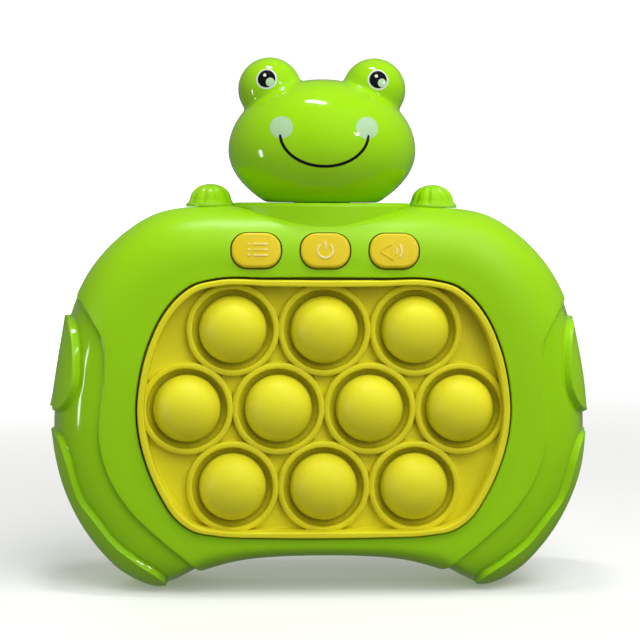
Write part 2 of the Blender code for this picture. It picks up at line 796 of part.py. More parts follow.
def make_battery_door():
    """The battery door, which swings at its two tabs, and the screw that stays in it."""
    outline = door_outline(0)
    plate = [row_of(outline[:, 0], depth, outline[:, 1]) for depth in (-back_depth, door_inner)]
    door = solid("battery_door", plate, body_green)
    tab_back = door_inner + slide_gap
    tab_front = tab_back + tab_thickness
    roots = tab_boxes(0, door_inner - weld_overlap, tab_front, door_top - tab_root, door_top - gap)
    tongues = tab_boxes(0, tab_back, tab_front, door_top - tab_root / 2, door_top + tab_reach)
    join(door, blocks("tool_tab_roots", roots), blocks("tool_tab_tongues", tongues))
    inner_end = door_inner + door_boss_height
    boss = ((door_boss_radius, door_inner - weld_overlap), (door_boss_radius, inner_end))
    join(door, turned("tool_door_boss", door_screw_place, boss, screw_segments))
    head_room = door_screw_head_radius + gap
    hole_room = door_screw_radius + gap
    recess = ((head_room, outside), (head_room, door_screw_neck + gap))
    hole = ((hole_room, outside), (hole_room, inner_end + overrun))
    cut(door, turned("tool_door_screw_recess", door_screw_place, recess, screw_segments))
    cut(door, turned("tool_door_hole", door_screw_place, hole, screw_segments))
    set_origin(door, 0, -back_depth, door_top)

    profile = screw_profile(
        door_screw_radius, door_screw_head_radius, door_screw_top, door_screw_neck, door_screw_tip
    )
    screw = turned("battery_door_screw", door_screw_place, profile, screw_segments, steel)
    set_origin(screw, 0, -back_depth, door_top)
    screw.parent = door
    screw.location = (0, 0, 0)


def screw_profile(radius, head_radius, top, neck, tip):
    """A screw's turned profile, from the top of its head to its tip."""
    return ((0, top), (head_radius, top), (head_radius, neck), (radius, neck), (radius, tip), (0, tip))


def head_ball(name, shrink, base, levels, material=None):
    """The head's egg shape from its flat base up, shrunk by an amount."""
    start = math.asin((base - head_height) / (head_drop - shrink))
    rings = []
    for lift in np.linspace(start, math.pi / 2, levels):
        rise = (head_rise if lift > 0 else head_drop) - shrink
        wide = (head_half_width - shrink) * math.cos(lift)
        deep = (head_half_depth - shrink) * math.cos(lift)
        count = head_segments if len(rings) < levels - 1 else 1
        rings.append(level_ring(0, head_height + rise * math.sin(lift), wide, deep, count))
    return solid(name, rings, material)


def eye_bumps(name, shrink):
    """The two balls of the eyes, shrunk by an amount."""
    bm = bmesh.new()
    radius = eye_radius - shrink
    lifts = np.linspace(-math.pi / 2, math.pi / 2, eye_levels)
    for x in (eye_spacing / 2, -eye_spacing / 2):
        rings = []
        for lift in lifts:
            wide = radius * math.cos(lift)
            count = 1 if lift in (lifts[0], lifts[-1]) else eye_segments
            rings.append(level_ring(x, eye_height + radius * math.sin(lift), wide, wide, count, -eye_back))
        add_rings(bm, rings)
    return to_object(name, bm)


def make_head(label, side):
    """One half of the head: a hollow ball with the eye bumps and half of the stem in the neck."""
    half = head_ball(f"head_{label}_shell", 0, head_base, head_levels, gloss_green)
    profile = (
        (stem_flange_radius, stem_bottom), (stem_flange_radius, stem_flange_top),
        (stem_radius, stem_flange_top), (stem_radius, head_base + head_wall / 2),
    )
    stem = [level_ring(0, z, radius, radius, eye_segments) for radius, z in profile]
    join(half, eye_bumps("tool_bumps_" + label, 0), solid("tool_stem_" + label, stem))
    floor = head_base + head_wall
    cut(
        half,
        head_ball("tool_head_hollow_" + label, head_wall, floor, hollow_levels),
        eye_bumps("tool_bump_hollows_" + label, head_wall),
        upright("tool_stem_bore_" + label, 0, stem_bore, stem_bottom - overrun, floor + overrun, eye_segments),
    )
    far = side * 2 * head_half_width
    low = (-abs(far), side * gap / 2 - far, 0)
    cut(half, blocks("tool_head_cut_" + label, [(low, (abs(far), side * gap / 2, 2 * neck_top))]))


def make_knob(label, side):
    """A fluted knob on its flange, with a stem down through the shells."""
    count = knob_flutes * knob_steps_per_flute
    turns = np.arange(count) * 2 * math.pi / count
    flute = knob_flute_depth * (1 + np.cos(turns * knob_flutes)) / 2
    base = knob_seat + gap
    top = base + knob_flange_thickness
    profile = (
        (knob_stem_radius, base - knob_stem_length), (knob_stem_radius, base),
        (knob_flange_radius, base), (knob_flange_radius, top),
    )
    rings = [level_ring(side * knob_offset, z, radius, radius, count) for radius, z in profile]
    for wide, high in knob_profile_shares:
        radius = knob_radius * wide - flute * (1 - high * high)
        xs = side * knob_offset + radius * np.cos(turns)
        rings.append(row_of(xs, radius * np.sin(turns), top + knob_height * high))
    solid(label + "_shoulder_knob", rings, gloss_green)


def pad_ring(grow, depth):
    """The pad's outline, grown by an amount, at a depth."""
    turns = np.arange(pad_segments) * 2 * math.pi / pad_segments
    out = reach(pad_outline, turns) + grow
    return row_of(out * np.sin(turns), depth, pad_height + out * np.cos(turns))


def make_pad():
    """The silicone pad: floor, rim and flange in one run of rings, then the ridges and the holes."""
    rim_top = face_depth + rim_rise
    flange_front = face_depth - wall - gap
    flange_back = flange_front - flange_thickness
    floor_back = floor_depth - floor_thickness
    profile = (
        (-rim_width, floor_depth), (-rim_width, rim_top - rim_round), (rim_round - rim_width, rim_top),
        (-rim_round, rim_top), (0, rim_top - rim_round), (0, flange_front), (flange_width, flange_front),
        (flange_width, flange_back), (0, flange_back), (0, floor_back),
    )
    pad = solid("bubble_pad", [pad_ring(grow, depth) for grow, depth in profile], pad_yellow)
    root = floor_depth - floor_thickness / 2
    top = floor_depth + ridge_height
    ridge = (
        (ridge_inner_radius, root), (ridge_inner_radius + ridge_taper, top),
        (ridge_outer_radius - ridge_taper, top), (ridge_outer_radius, root),
    )
    for i, (x, z) in enumerate(bubble_places):
        rings = [disc(x, z, radius, depth, bubble_segments) for radius, depth in ridge]
        join(pad, solid(f"tool_ridge_{i + 1:02d}", rings, closed=True))
    hole_radius = bubble_radius + slide_gap
    hole = ((hole_radius, floor_depth + overrun), (hole_radius, floor_back - overrun))
    cut(pad, turned("tool_bubble_holes", bubble_places, hole, bubble_segments))


def dome_profile(radius, height, turns):
    """A straight skirt and an elliptical cap, from the base to the top."""
    foot = floor_depth + bubble_skirt
    rise = height - bubble_skirt
    cap = [(radius * math.cos(turn), foot + rise * math.sin(turn)) for turn in turns]
    return [(radius, dome_base)] + cap + [(0, floor_depth + height)]


def make_bubbles():
    """Ten hollow domes, each on its own so that it can be pressed in."""
    outer = dome_profile(bubble_radius, bubble_height, dome_turns)
    inner = dome_profile(bubble_radius - bubble_wall, bubble_height - bubble_wall, hollow_turns)
    profile = outer[::-1] + inner
    for i, (x, z) in enumerate(bubble_places):
        dome = turned(f"bubble_dome_{i + 1:02d}", [(x, z)], profile, bubble_segments, bubble_yellow)
        set_origin(dome, x, dome_base, z)


def make_light_keys():
    """Ten clear keys that fill the domes and press the switches."""
    wide = bubble_radius - bubble_wall - gap
    high = bubble_height - bubble_wall - gap
    flange = key_skirt_radius + key_flange_width
    profile = [(wide * across, floor_depth + high * up) for across, up in key_dome_shares]
    profile += [
        (profile[-1][0], key_shoulder), (key_skirt_radius, key_shoulder), (key_skirt_radius, key_skirt_base),
        (flange, key_skirt_base), (flange, key_base), (0, key_base),
    ]
    for i, (x, z) in enumerate(bubble_places):
        key = turned(f"light_key_{i + 1:02d}", [(x, z)], profile, key_segments, key_white)
        set_origin(key, x, dome_base, z)


def make_guide_plate():
    """The plate behind the pad, with a bore for each key and posts down to the board."""
    rings = [pad_ring(flange_width, depth) for depth in (guide_front, guide_back)]
    plate = solid("guide_plate", rings, guide_black)
    posts = [(side * bubble_pitch, pad_height + end * row_step / 3) for side in (1, -1) for end in (1, -1)]
    post = ((post_radius, guide_back + weld_overlap), (post_radius, board_front + gap))
    join(plate, turned("tool_posts", posts, post, key_segments))
    bore_radius = key_skirt_radius + slide_gap
    bore = ((bore_radius, guide_front + overrun), (bore_radius, guide_back - gap))
    cut(plate, turned("tool_guide_bores", bubble_places, bore, key_segments))


def make_board():
    """The main board: wide behind the bubbles, narrow behind the buttons."""
    half_width = pad_half_width - board_inset
    low = pad_height - pad_half_height + board_inset
    shoulder = pad_height + pad_half_height - board_inset
    neck = button_pitch + switch_side / 2 + board_edge
    top = button_switch_height + switch_side / 2 + board_edge
    half = ((half_width, low), (half_width, shoulder), (neck, shoulder), (neck, top))
    outline = np.array(half + tuple((-x, z) for x, z in half[::-1]))
    rings = [row_of(outline[:, 0], depth, outline[:, 1]) for depth in (board_front, board_back)]
    solid("main_board", rings, board_finish)


def make_switch(name, x, z):
    """A push switch: a square body with a round pin."""
    base = board_front + gap
    step = base + switch_height * switch_body_share
    half = switch_side / 2
    switch = blocks(name, [((x - half, base, z - half), (x + half, step, z + half))], switch_black)
    pin = ((switch_pin_radius, step - weld_overlap), (switch_pin_radius, switch_top))
    join(switch, turned("tool_pin_" + name, [(x, z)], pin, pin_segments))


def make_button(name, x):
    """A push button with a retaining flange behind the shell and a stem to its switch."""
    flange_back = button_cap_depth + button_flange_thickness
    profile = (
        (-button_edge, 0), (0, button_edge), (0, button_cap_depth), (button_flange, button_cap_depth),
        (button_flange, flange_back),
    )
    rings = [along_button(button_outline(grow), back) for grow, back in profile]
    button = place_on_button_axis(solid(name + "_button", rings, button_yellow), x)
    outline = disc(0, 0, button_stem_radius, 0, key_segments)[:, (0, 2)]
    stem = [along_button(outline, back) for back in (flange_back - weld_overlap, stem_end)]
    join(button, place_on_button_axis(solid("tool_stem_" + name, stem), x))


def make_speaker():
    rim = speaker_front + speaker_cone_depth
    magnet_front = rim + magnet_height
    profile = (
        (0, rim), (speaker_radius - speaker_rim, speaker_front), (speaker_radius, speaker_front),
        (speaker_radius, rim),
        (magnet_radius, magnet_front), (magnet_radius, magnet_front + magnet_height),
        (0, magnet_front + magnet_height),
    )
    turned("speaker", [(0, speaker_height)], profile, bubble_segments, speaker_black)


def side_ring(x, z, radius):
    """A ring of points round the line of a cell."""
    turns = np.arange(key_segments) * 2 * math.pi / key_segments
    return row_of(x, cell_depth + radius * np.cos(turns), z + radius * np.sin(turns))


def make_cells():
    """Three cells that lie across the bay, each turned the other way from the last."""
    profile = (
        (-cell_end, cell_radius), (cell_end - cell_nub_length, cell_radius),
        (cell_end - cell_nub_length, cell_nub_radius), (cell_end, cell_nub_radius),
    )
    for i, z in enumerate(cell_heights):
        way = 1 if i % 2 else -1
        rings = [side_ring(way * x, z, radius) for x, radius in profile]
        solid(f"battery_cell_{i + 1}", rings, cell_wrap)


def make_contact(label, side):
    """A contact plate at one end of the bay, with a raised spring at each cell."""
    outer = bay_half_width - gap
    inner = outer - contact_thickness
    half_depth = contact_width / 2
    half_height = bay_half_height - contact_margin
    low = (side * inner, cell_depth - half_depth, cell_height - half_height)
    high = (side * outer, cell_depth + half_depth, cell_height + half_height)
    contact = blocks("battery_contact_" + label, [(low, high)], steel)
    bm = bmesh.new()
    spring = ((inner + contact_thickness / 2, spring_radius), (cell_end + gap, spring_tip_radius))
    for z in cell_heights:
        add_rings(bm, [side_ring(side * x, z, radius) for x, radius in spring])
    join(contact, to_object("tool_springs_" + label, bm))


def make_case_screws():
    neck = -screw_seat_depth - gap
    profile = screw_profile(screw_radius, screw_head_radius, neck - screw_head_height, neck, screw_reach)
    for i, place in enumerate(screws):
        turned(f"case_screw_{i + 1}", [place], profile, screw_segments, steel)


below_soles = ((-body_half_width, -back_depth, -overrun), (body_half_width, back_depth, 0))
soles = blocks("tool_soles", [below_soles])
make_front_shell()
make_rear_shell()
make_battery_door()
make_head("front", 1)
make_head("rear", -1)
make_knob("right", 1)
make_knob("left", -1)
make_pad()
make_bubbles()
make_light_keys()
make_guide_plate()
make_board()
for i, (x, z) in enumerate(bubble_places):
    make_switch(f"bubble_switch_{i + 1:02d}", x, z)
for name, x in zip(button_names, button_xs):
    make_button(name, x)
    make_switch(name + "_switch", x, button_switch_height)
make_speaker()
make_cells()
make_contact("left", -1)
make_contact("right", 1)
make_case_screws()
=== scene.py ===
# %% [markdown]
# # A bubble pop game with a frog's head
#
# The toy is a hand-held game. Two green shells meet on an upright plane and hold a
# yellow silicone pad, whose ten bubbles press down on switches. Above the pad sit three
# push buttons, a glossy frog's head stands on a short neck, and a fluted knob sits on
# each shoulder. It stands on its two legs and faces -Y.
#
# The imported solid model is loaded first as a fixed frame. Each surface that shows is
# then worked out again around it, finely enough to hold its real roundings.

import math

import bmesh
import bpy
import numpy as np
from mathutils import Matrix, Vector


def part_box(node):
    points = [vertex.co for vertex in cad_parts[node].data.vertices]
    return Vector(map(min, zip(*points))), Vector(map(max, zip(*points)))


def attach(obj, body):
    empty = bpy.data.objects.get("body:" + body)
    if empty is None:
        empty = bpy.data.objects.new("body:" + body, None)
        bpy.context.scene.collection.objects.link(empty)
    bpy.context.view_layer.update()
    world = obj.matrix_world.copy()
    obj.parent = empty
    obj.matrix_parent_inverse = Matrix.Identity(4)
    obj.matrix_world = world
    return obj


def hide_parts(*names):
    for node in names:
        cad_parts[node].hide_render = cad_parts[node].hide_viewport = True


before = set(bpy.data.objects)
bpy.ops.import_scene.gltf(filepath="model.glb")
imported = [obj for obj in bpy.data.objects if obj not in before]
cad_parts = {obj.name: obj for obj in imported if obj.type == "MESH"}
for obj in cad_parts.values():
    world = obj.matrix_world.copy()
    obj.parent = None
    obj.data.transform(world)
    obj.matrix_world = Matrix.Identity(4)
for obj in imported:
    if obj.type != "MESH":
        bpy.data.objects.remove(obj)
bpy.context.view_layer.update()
MM = 0.001
DEG = math.pi / 180

# %% [markdown]
# ## From numbers to meshes
#
# Almost every part of a moulded toy is a run of closed rings: a bowl, a dome, a rim or a
# knob. Blender can turn or loft such shapes with modifiers. Here the rings are worked out
# as whole arrays instead, because one formula then gives the shape at any fineness, and
# the same two helpers serve every piece. A ring is a row of points, and the rows are
# joined by quads. Each end is closed with a fan round one point.

# %% Grids of rings
sharp_edge = 35 * DEG
enlarge = 1000


def ring_body(rings, first=None, last=None, loop=False):
    """Joins rings[row, column] with quads. The columns always close on themselves, and the
    rows do too where loop is set. Otherwise a fan closes each end, round the given point
    or round the middle of the end ring."""
    rings = np.asarray(rings, float)
    rows, cols = rings.shape[:2]
    i = np.arange(rows if loop else rows - 1)[:, None]
    j = np.arange(cols)[None, :]
    up, on = (i + 1) % rows, (j + 1) % cols
    corners = (i * cols + j, i * cols + on, up * cols + on, up * cols + j)
    four = np.stack(np.broadcast_arrays(*corners), axis=-1).reshape(-1, 4)
    points = rings.reshape(-1, 3)
    three = np.empty((0, 3), int)
    if not loop:
        ends = [rings[0].mean(axis=0) if first is None else first]
        ends.append(rings[-1].mean(axis=0) if last is None else last)
        here = np.arange(cols)
        after = (here + 1) % cols
        top = (rows - 1) * cols
        count = len(points)
        low = np.stack([after, here, np.full(cols, count)], axis=1)
        high = np.stack([top + here, top + after, np.full(cols, count + 1)], axis=1)
        three = np.concatenate([low, high])
        points = np.concatenate([points, ends])
    return outward((points, four, three))


def outward(shape):
    """Turns a closed shape right side out: the volume under all its faces is positive."""
    points, four, three = shape
    faces = np.concatenate([four[:, [0, 1, 2]], four[:, [0, 2, 3]], three])
    a, b, c = points[faces].transpose(1, 0, 2)
    if np.einsum("ij,ij->i", a, np.cross(b, c)).sum() < 0:
        four, three = four[:, ::-1], three[:, ::-1]
    return points, four, three


# %% One object from its shapes
def put(name, shapes, material=None):
    """Writes shapes into one mesh, smooth but for edges that bend more than sharp_edge."""
    offsets = np.cumsum([0] + [len(points) for points, _, _ in shapes])
    points = np.concatenate([points for points, _, _ in shapes]).astype(np.float32)
    four = np.concatenate([four + shift for (_, four, _), shift in zip(shapes, offsets)])
    three = np.concatenate([three + shift for (_, _, three), shift in zip(shapes, offsets)])
    mesh = bpy.data.meshes.new(name)
    mesh.vertices.add(len(points))
    mesh.vertices.foreach_set("co", points.ravel())
    corners = np.concatenate([four.ravel(), three.ravel()]).astype(np.int32)
    mesh.loops.add(len(corners))
    mesh.loops.foreach_set("vertex_index", corners)
    starts = np.concatenate([np.arange(len(four)) * 4, len(four) * 4 + np.arange(len(three)) * 3])
    mesh.polygons.add(len(starts))
    mesh.polygons.foreach_set("loop_start", starts.astype(np.int32))
    mesh.update(calc_edges=True)
    made = bpy.data.objects.new(name, mesh)
    bpy.context.scene.collection.objects.link(made)
    if material is not None:
        mesh.materials.append(material)
    mesh.shade_smooth()
    mesh.set_sharp_from_angle(angle=sharp_edge)
    return made


def carve(piece, tools, how="DIFFERENCE", overlapping=False):
    """Cuts tools from a piece, or joins them on, and keeps the result as its mesh. The
    solver drops details near a micrometre, so it works on meshes a thousand times as big,
    and only on triangles, which can't be out of flat. It is told where the shapes of one
    tool overlap, because that takes longer. A pinhole that it leaves is filled."""
    for mesh in {piece.data, *(tool.data for tool in tools)}:
        mesh.transform(Matrix.Scale(enlarge, 4))
    for tool in tools:
        boolean = piece.modifiers.new(tool.name, "BOOLEAN")
        boolean.operation = how
        boolean.solver = "EXACT"
        boolean.object = tool
        boolean.use_self = overlapping
        piece.modifiers.new(tool.name + "_split", "TRIANGULATE")
    graph = bpy.context.evaluated_depsgraph_get()
    made = bpy.data.meshes.new_from_object(piece.evaluated_get(graph))
    shape = bmesh.new()
    shape.from_mesh(made)
    bmesh.ops.holes_fill(shape, edges=[edge for edge in shape.edges if edge.is_boundary], sides=4)
    shape.to_mesh(made)
    shape.free()
    made.transform(Matrix.Scale(1 / enlarge, 4))
    old = piece.data
    piece.modifiers.clear()
    piece.data = made
    bpy.data.meshes.remove(old)
    for tool in tools:
        spare = tool.data
        bpy.data.objects.remove(tool, do_unlink=True)
        bpy.data.meshes.remove(spare)
    made.shade_smooth()
    made.set_sharp_from_angle(angle=sharp_edge)
    return piece


def dress(piece, body, slot, *nodes):
    """A finished piece rides on its body and stands for its CAD nodes. Its slot is not used."""
    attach(piece, body)
    if nodes:
        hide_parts(*nodes)
    print(piece.name, len(piece.data.polygons), "faces")


# %% [markdown]
# ## Places
#
# A depth is a distance in front of the plane where the two shells meet, so what lies
# behind that plane has a negative depth. The same few helpers place every ring.

# %% Rings and profiles
seam_y = 1.5 * MM


def at(xs, depths, zs):
    """Points from their x, depth and height."""
    return np.stack(np.broadcast_arrays(xs, seam_y - np.asarray(depths, float), zs), axis=-1)


def turns_of(count):
    """Equal angles round a whole turn."""
    return np.arange(count) * 2 * math.pi / count


def turned(place, profile, count):
    """A profile of (radius, depth) turned about a line that runs from front to back:
    x = radius cos(turn), z = radius sin(turn)."""
    radii, depths = np.array(profile, float).T
    turn = turns_of(count)[None, :]
    x, z = place
    rings = at(x + radii[:, None] * np.cos(turn), depths[:, None], z + radii[:, None] * np.sin(turn))
    return ring_body(rings, at(x, depths[0], z), at(x, depths[-1], z))


def upright(place, profile, count):
    """A profile of (radius, height) turned about an upright line: x = radius cos(turn),
    depth = radius sin(turn)."""
    radii, heights = np.array(profile, float).T
    turn = turns_of(count)[None, :]
    x, depth = place
    rings = at(x + radii[:, None] * np.cos(turn), depth + radii[:, None] * np.sin(turn), heights[:, None])
    return ring_body(rings, at(x, depth, heights[0]), at(x, depth, heights[-1]))


def rounded(corners, radius, steps=5):
    """A profile whose inner corners are rounded: each corner becomes a short curve between
    the two points that lie one radius before and after it."""
    points = np.array(corners, float)
    run = [points[:1]]
    t = np.linspace(0, 1, steps)[:, None]
    for before, here, after in zip(points, points[1:], points[2:]):
        back, ahead = before - here, after - here
        start = here + back * min(0.5, radius / max(np.hypot(*back), 1e-9))
        end = here + ahead * min(0.5, radius / max(np.hypot(*ahead), 1e-9))
        run.append((1 - t) ** 2 * start + 2 * t * (1 - t) * here + t**2 * end)
    return np.concatenate(run + [points[-1:]])


def rounded_rectangle(half_width, half_height, corner, steps=10):
    """Points (x, z) round a rectangle whose corners are quarter circles."""
    turn = np.linspace(0, math.pi / 2, steps)
    run = []
    for i, (side, end) in enumerate(((1, 1), (-1, 1), (-1, -1), (1, -1))):
        xs = side * (half_width - corner) + corner * np.cos(turn + i * math.pi / 2)
        zs = end * (half_height - corner) + corner * np.sin(turn + i * math.pi / 2)
        run.append(np.stack([xs, zs], axis=1))
    return np.concatenate(run)


def stadium(half_width, half_height):
    """Points (x, z) round a slot with two half-round ends, which lie left and right."""
    turn = np.linspace(-math.pi / 2, math.pi / 2, 12)
    xs = half_width - half_height + half_height * np.cos(turn)
    right = np.stack([xs, half_height * np.sin(turn)], axis=1)
    return np.concatenate([right, -right])


def box_body(low, high):
    """A plain box between two corners given as x, depth and z. It only serves as a tool."""
    (x0, d0, z0), (x1, d1, z1) = low, high
    xs, zs = np.array(((x0, z0), (x1, z0), (x1, z1), (x0, z1))).T
    return ring_body(np.stack([at(xs, d0, zs), at(xs, d1, zs)]))


# %% [markdown]
# ## The body's outline
#
# Seen from the front the body is a broad rounded shield on two legs, and no circle or
# ellipse follows it. It could be drawn as a Bezier curve by hand. A short list of points
# is easier to check against the real toy, and a cubic curve through them is smooth, so
# the outline, the pad and the lines of the grips are all given that way.

# %% Curves through points
body_half_width = 76.3 * MM
body_height = 108.3 * MM
face_depth = 20.5 * MM
back_depth = 21.0 * MM
wall = 2.0 * MM
seam_gap = 0.3 * MM
pad_height = 52.094 * MM
pad_half_width = 51.5 * MM
pad_half_height = 35.81 * MM
sole_cut = 0.5 * MM
curve_steps = 24

outline_shares = (
    (0.0, 1.0), (0.26, 0.999), (0.472, 0.9963), (0.615, 0.977), (0.755, 0.914), (0.861, 0.829),
    (0.921, 0.745), (0.965, 0.628), (0.991, 0.517), (1.0, 0.406), (0.986, 0.314), (0.935, 0.21),
    (0.848, 0.111), (0.742, 0.037), (0.61, 0.0), (0.472, 0.041), (0.3145, 0.074), (0.14, 0.087),
    (0.0, 0.089),
)
pad_outline_shares = (
    (0.0, 1.0), (0.3, 1.0), (0.58, 0.995), (0.7, 0.95), (0.785, 0.86), (0.86, 0.726), (0.936, 0.495),
    (0.987, 0.2), (1.0, -0.02), (0.985, -0.23), (0.945, -0.44), (0.87, -0.68), (0.79, -0.85),
    (0.7, -0.94), (0.58, -0.975), (0.3, -0.995), (0.0, -1.0),
)
plate_line_shares = (
    (0.94, 0.78), (0.852, 0.717), (0.803, 0.656), (0.794, 0.575), (0.81, 0.489), (0.815, 0.4),
    (0.78, 0.311), (0.705, 0.226), (0.586, 0.145), (0.47, 0.073), (0.42, 0.03),
)
upper_grip_shares = (
    (0.96, 0.73), (0.935, 0.71), (0.9, 0.61), (0.91, 0.527), (0.978, 0.467), (1.01, 0.46),
)
lower_grip_shares = (
    (1.01, 0.418), (0.982, 0.409), (0.937, 0.351), (0.915, 0.295), (0.885, 0.24), (0.832, 0.194),
    (0.76, 0.132), (0.675, 0.086), (0.58, 0.032), (0.56, -0.01),
)


def smooth_loop(points):
    """A closed curve through the points: cubic spans, with each slope weighing both
    neighbours by their distance."""
    here = np.array(points, float)
    after, before = np.roll(here, -1, axis=0), np.roll(here, 1, axis=0)
    ahead = np.linalg.norm(after - here, axis=1, keepdims=True)
    behind = np.linalg.norm(here - before, axis=1, keepdims=True)
    slope = (after - here) / ahead * behind + (here - before) / behind * ahead
    slope = slope / (ahead + behind)
    t = (np.arange(curve_steps) / curve_steps)[:, None, None]
    curve = (2 * t**3 - 3 * t**2 + 1) * here + (t**3 - 2 * t**2 + t) * ahead * slope
    curve = curve + (3 * t**2 - 2 * t**3) * after
    curve = curve + (t**3 - t**2) * ahead * np.roll(slope, -1, axis=0)
    return curve.transpose(1, 0, 2).reshape(-1, 2)


def both_sides(half):
    """A whole outline from its right half."""
    right = np.array(half)
    return np.concatenate([right, right[-2:0:-1] * (-1, 1)])


def on_body(shares):
    """Shares of the body's half width and height as places. The soles run a little below
    the floor's height, where they are cut flat later."""
    return np.array(shares) * (body_half_width, body_height + sole_cut) - (0, sole_cut)


body_outline = smooth_loop(both_sides(on_body(outline_shares)))
pad_outline = smooth_loop(
    both_sides(np.array(pad_outline_shares) * (pad_half_width, pad_half_height) + (0, pad_height))
)


def reach(curve, angles):
    """How far a closed curve lies from the pad's middle, at angles measured from the top."""
    off = curve - (0, pad_height)
    turn = np.arctan2(off[:, 0], off[:, 1])
    order = np.argsort(turn)
    return np.interp(angles, turn[order], np.hypot(*off.T)[order], period=2 * math.pi)


def line_reach(shares, angles):
    """The same for a line on the right side, with its twin on the left. Beyond the line's
    ends it is far away."""
    line = smooth_loop(on_body(shares))[: 1 - curve_steps]
    off = line - (0, pad_height)
    turn = np.arctan2(off[:, 0], off[:, 1])
    far = 4 * body_half_width
    across = np.abs((angles + math.pi) % (2 * math.pi) - math.pi)
    return np.interp(across, turn, np.hypot(*off.T), left=far, right=far)


print("outline points:", len(body_outline), "pad points:", len(pad_outline))

# %% [markdown]
# ## The skin of the two shells
#
# Each shell swells from the outline to a flat: the pad's opening in front, the broad flat
# behind. A subdivision cage would need many hand-set points. A formula over an angle and
# a share of the way inwards gives the same skin at any fineness, and its normal can be
# taken by small differences. The grips and the centre plate are steps along that normal.

# %% Skins, normals and steps
body_roundness = 2.5
front_round_share = 0.85
slide_gap = 1.15 * MM
slide_gap_shares = (0.8, 0.2)
flat_half_width = 58.0 * MM
flat_half_height = 40.5 * MM
flat_roundness = 3.5
jump_slope = 3
body_count = 640
angles = turns_of(body_count)


def swell(share):
    """A power curve from 0 at the edge to 1: (1 - (1 - share)^n)^(1/n)."""
    share = np.clip(share, 0, 1)
    return (1 - (1 - share) ** body_roundness) ** (1 / body_roundness)


def mouth_reach(angles):
    """The pad's opening: a gap round the pad that is widest above and closes up downwards."""
    mean, swing = slide_gap_shares
    return reach(pad_outline, angles) + slide_gap * (mean + swing * np.cos(angles))


def flat_reach(angles):
    """Where the back's flat starts: a power ellipse round the pad's middle."""
    across = np.abs(np.sin(angles)) / flat_half_width
    up = np.abs(np.cos(angles)) / flat_half_height
    return (across**flat_roundness + up**flat_roundness) ** (-1 / flat_roundness)


def front_skin(angles, share, inset=0.0):
    """The front face: out = edge - share (edge - mouth), and its depth swells with the share."""
    edge = reach(body_outline, angles) - inset
    mouth = mouth_reach(angles)
    out = edge - share * (edge - mouth)
    full = face_depth - inset - seam_gap / 2
    depth = seam_gap / 2 + full * swell(share / front_round_share)
    return at(out * np.sin(angles), depth, pad_height + out * np.cos(angles))


def back_skin(angles, share, inset=0.0):
    """The back face, in the same way, from the outline to the back's flat."""
    edge = reach(body_outline, angles) - inset
    flat = flat_reach(angles) - inset / 2
    out = edge - share * (edge - flat)
    full = back_depth - inset - seam_gap / 2
    depth = -seam_gap / 2 - full * swell(share)
    return at(out * np.sin(angles), depth, pad_height + out * np.cos(angles))


def lifted(skin, facing, share, rise):
    """Points of a skin, moved along its normal by the rise. The normal is the cross product
    of two small steps, one round and one inwards."""
    small = 1e-4
    turn = np.broadcast_to(angles, share.shape)
    here = skin(turn, share)
    along = skin(turn + small, share) - skin(turn - small, share)
    inward = skin(turn, share + small) - here
    normal = np.cross(inward, along) * facing
    return here + normal / np.linalg.norm(normal, axis=-1, keepdims=True) * rise[..., None]


def step(distance, width):
    """A soft step from 0 to 1 across a width: 3 t^2 - 2 t^3."""
    t = np.clip(distance / width + 0.5, 0, 1)
    return t * t * (3 - 2 * t)


def beyond(line, out):
    """How far outwards a place lies from a line, square to it: the difference of the two
    reaches, made smaller where the line runs askew. A jump at the line's end is no slope."""
    slope = np.gradient(line, angles) / line
    slope = np.where(np.abs(slope) > jump_slope, 0, slope)
    return (out - line) / np.sqrt(1 + slope**2)


# %% [markdown]
# ## The grips
#
# On each side two smooth lenses stand proud of the shell, one where the finger lies and a
# long one below it. They run round the edge on to the back. Separate pads could be laid
# on, but on the toy they are one moulding with the shell, so they are a rise of its skin:
# a soft step at their line, with a slight crest on its upper side that catches the light
# and a fine groove at its foot that holds the shadow.

# %% Rise of the grips and of the plate
grip_rises = ((upper_grip_shares, 1.64 * MM), (lower_grip_shares, 1.1 * MM))
grip_width = 0.55 * MM
crest = 0.12 * MM
crest_place, crest_spread = 0.8 * MM, 0.45 * MM
grip_groove = 0.4 * MM
groove_place, groove_spread = 0.35 * MM, 0.45 * MM
plate_step = 1.45 * MM
plate_width = 0.8 * MM
plate_lip = 1.2 * MM
plain_share = 0.1
bunch_run = 0.9 * MM
bunch_rings = 6
outline_reach = reach(body_outline, angles)
grip_lines = [(line_reach(shares, angles), rise) for shares, rise in grip_rises]
plate_line = line_reach(plate_line_shares, angles)


def grip_rise(out):
    """Each grip's height where the place lies outside its line, plus a crest above the line
    and less a groove at its foot, both bell curves of the distance."""
    total = np.zeros_like(out)
    for line, rise in grip_lines:
        off = beyond(line, out)
        lens = rise * step(off - grip_width / 2, grip_width)
        total = total + lens + crest * np.exp(-(((off - crest_place) / crest_spread) ** 2))
        total = total - grip_groove * np.exp(-(((off + groove_place) / groove_spread) ** 2))
    return total


def grip_marks(span):
    """Where the rings bunch: at a grip's line, or near the outline where there is no grip."""
    mark = span * plain_share
    for line, _ in grip_lines:
        mark = np.maximum(mark, outline_reach - line)
    return mark


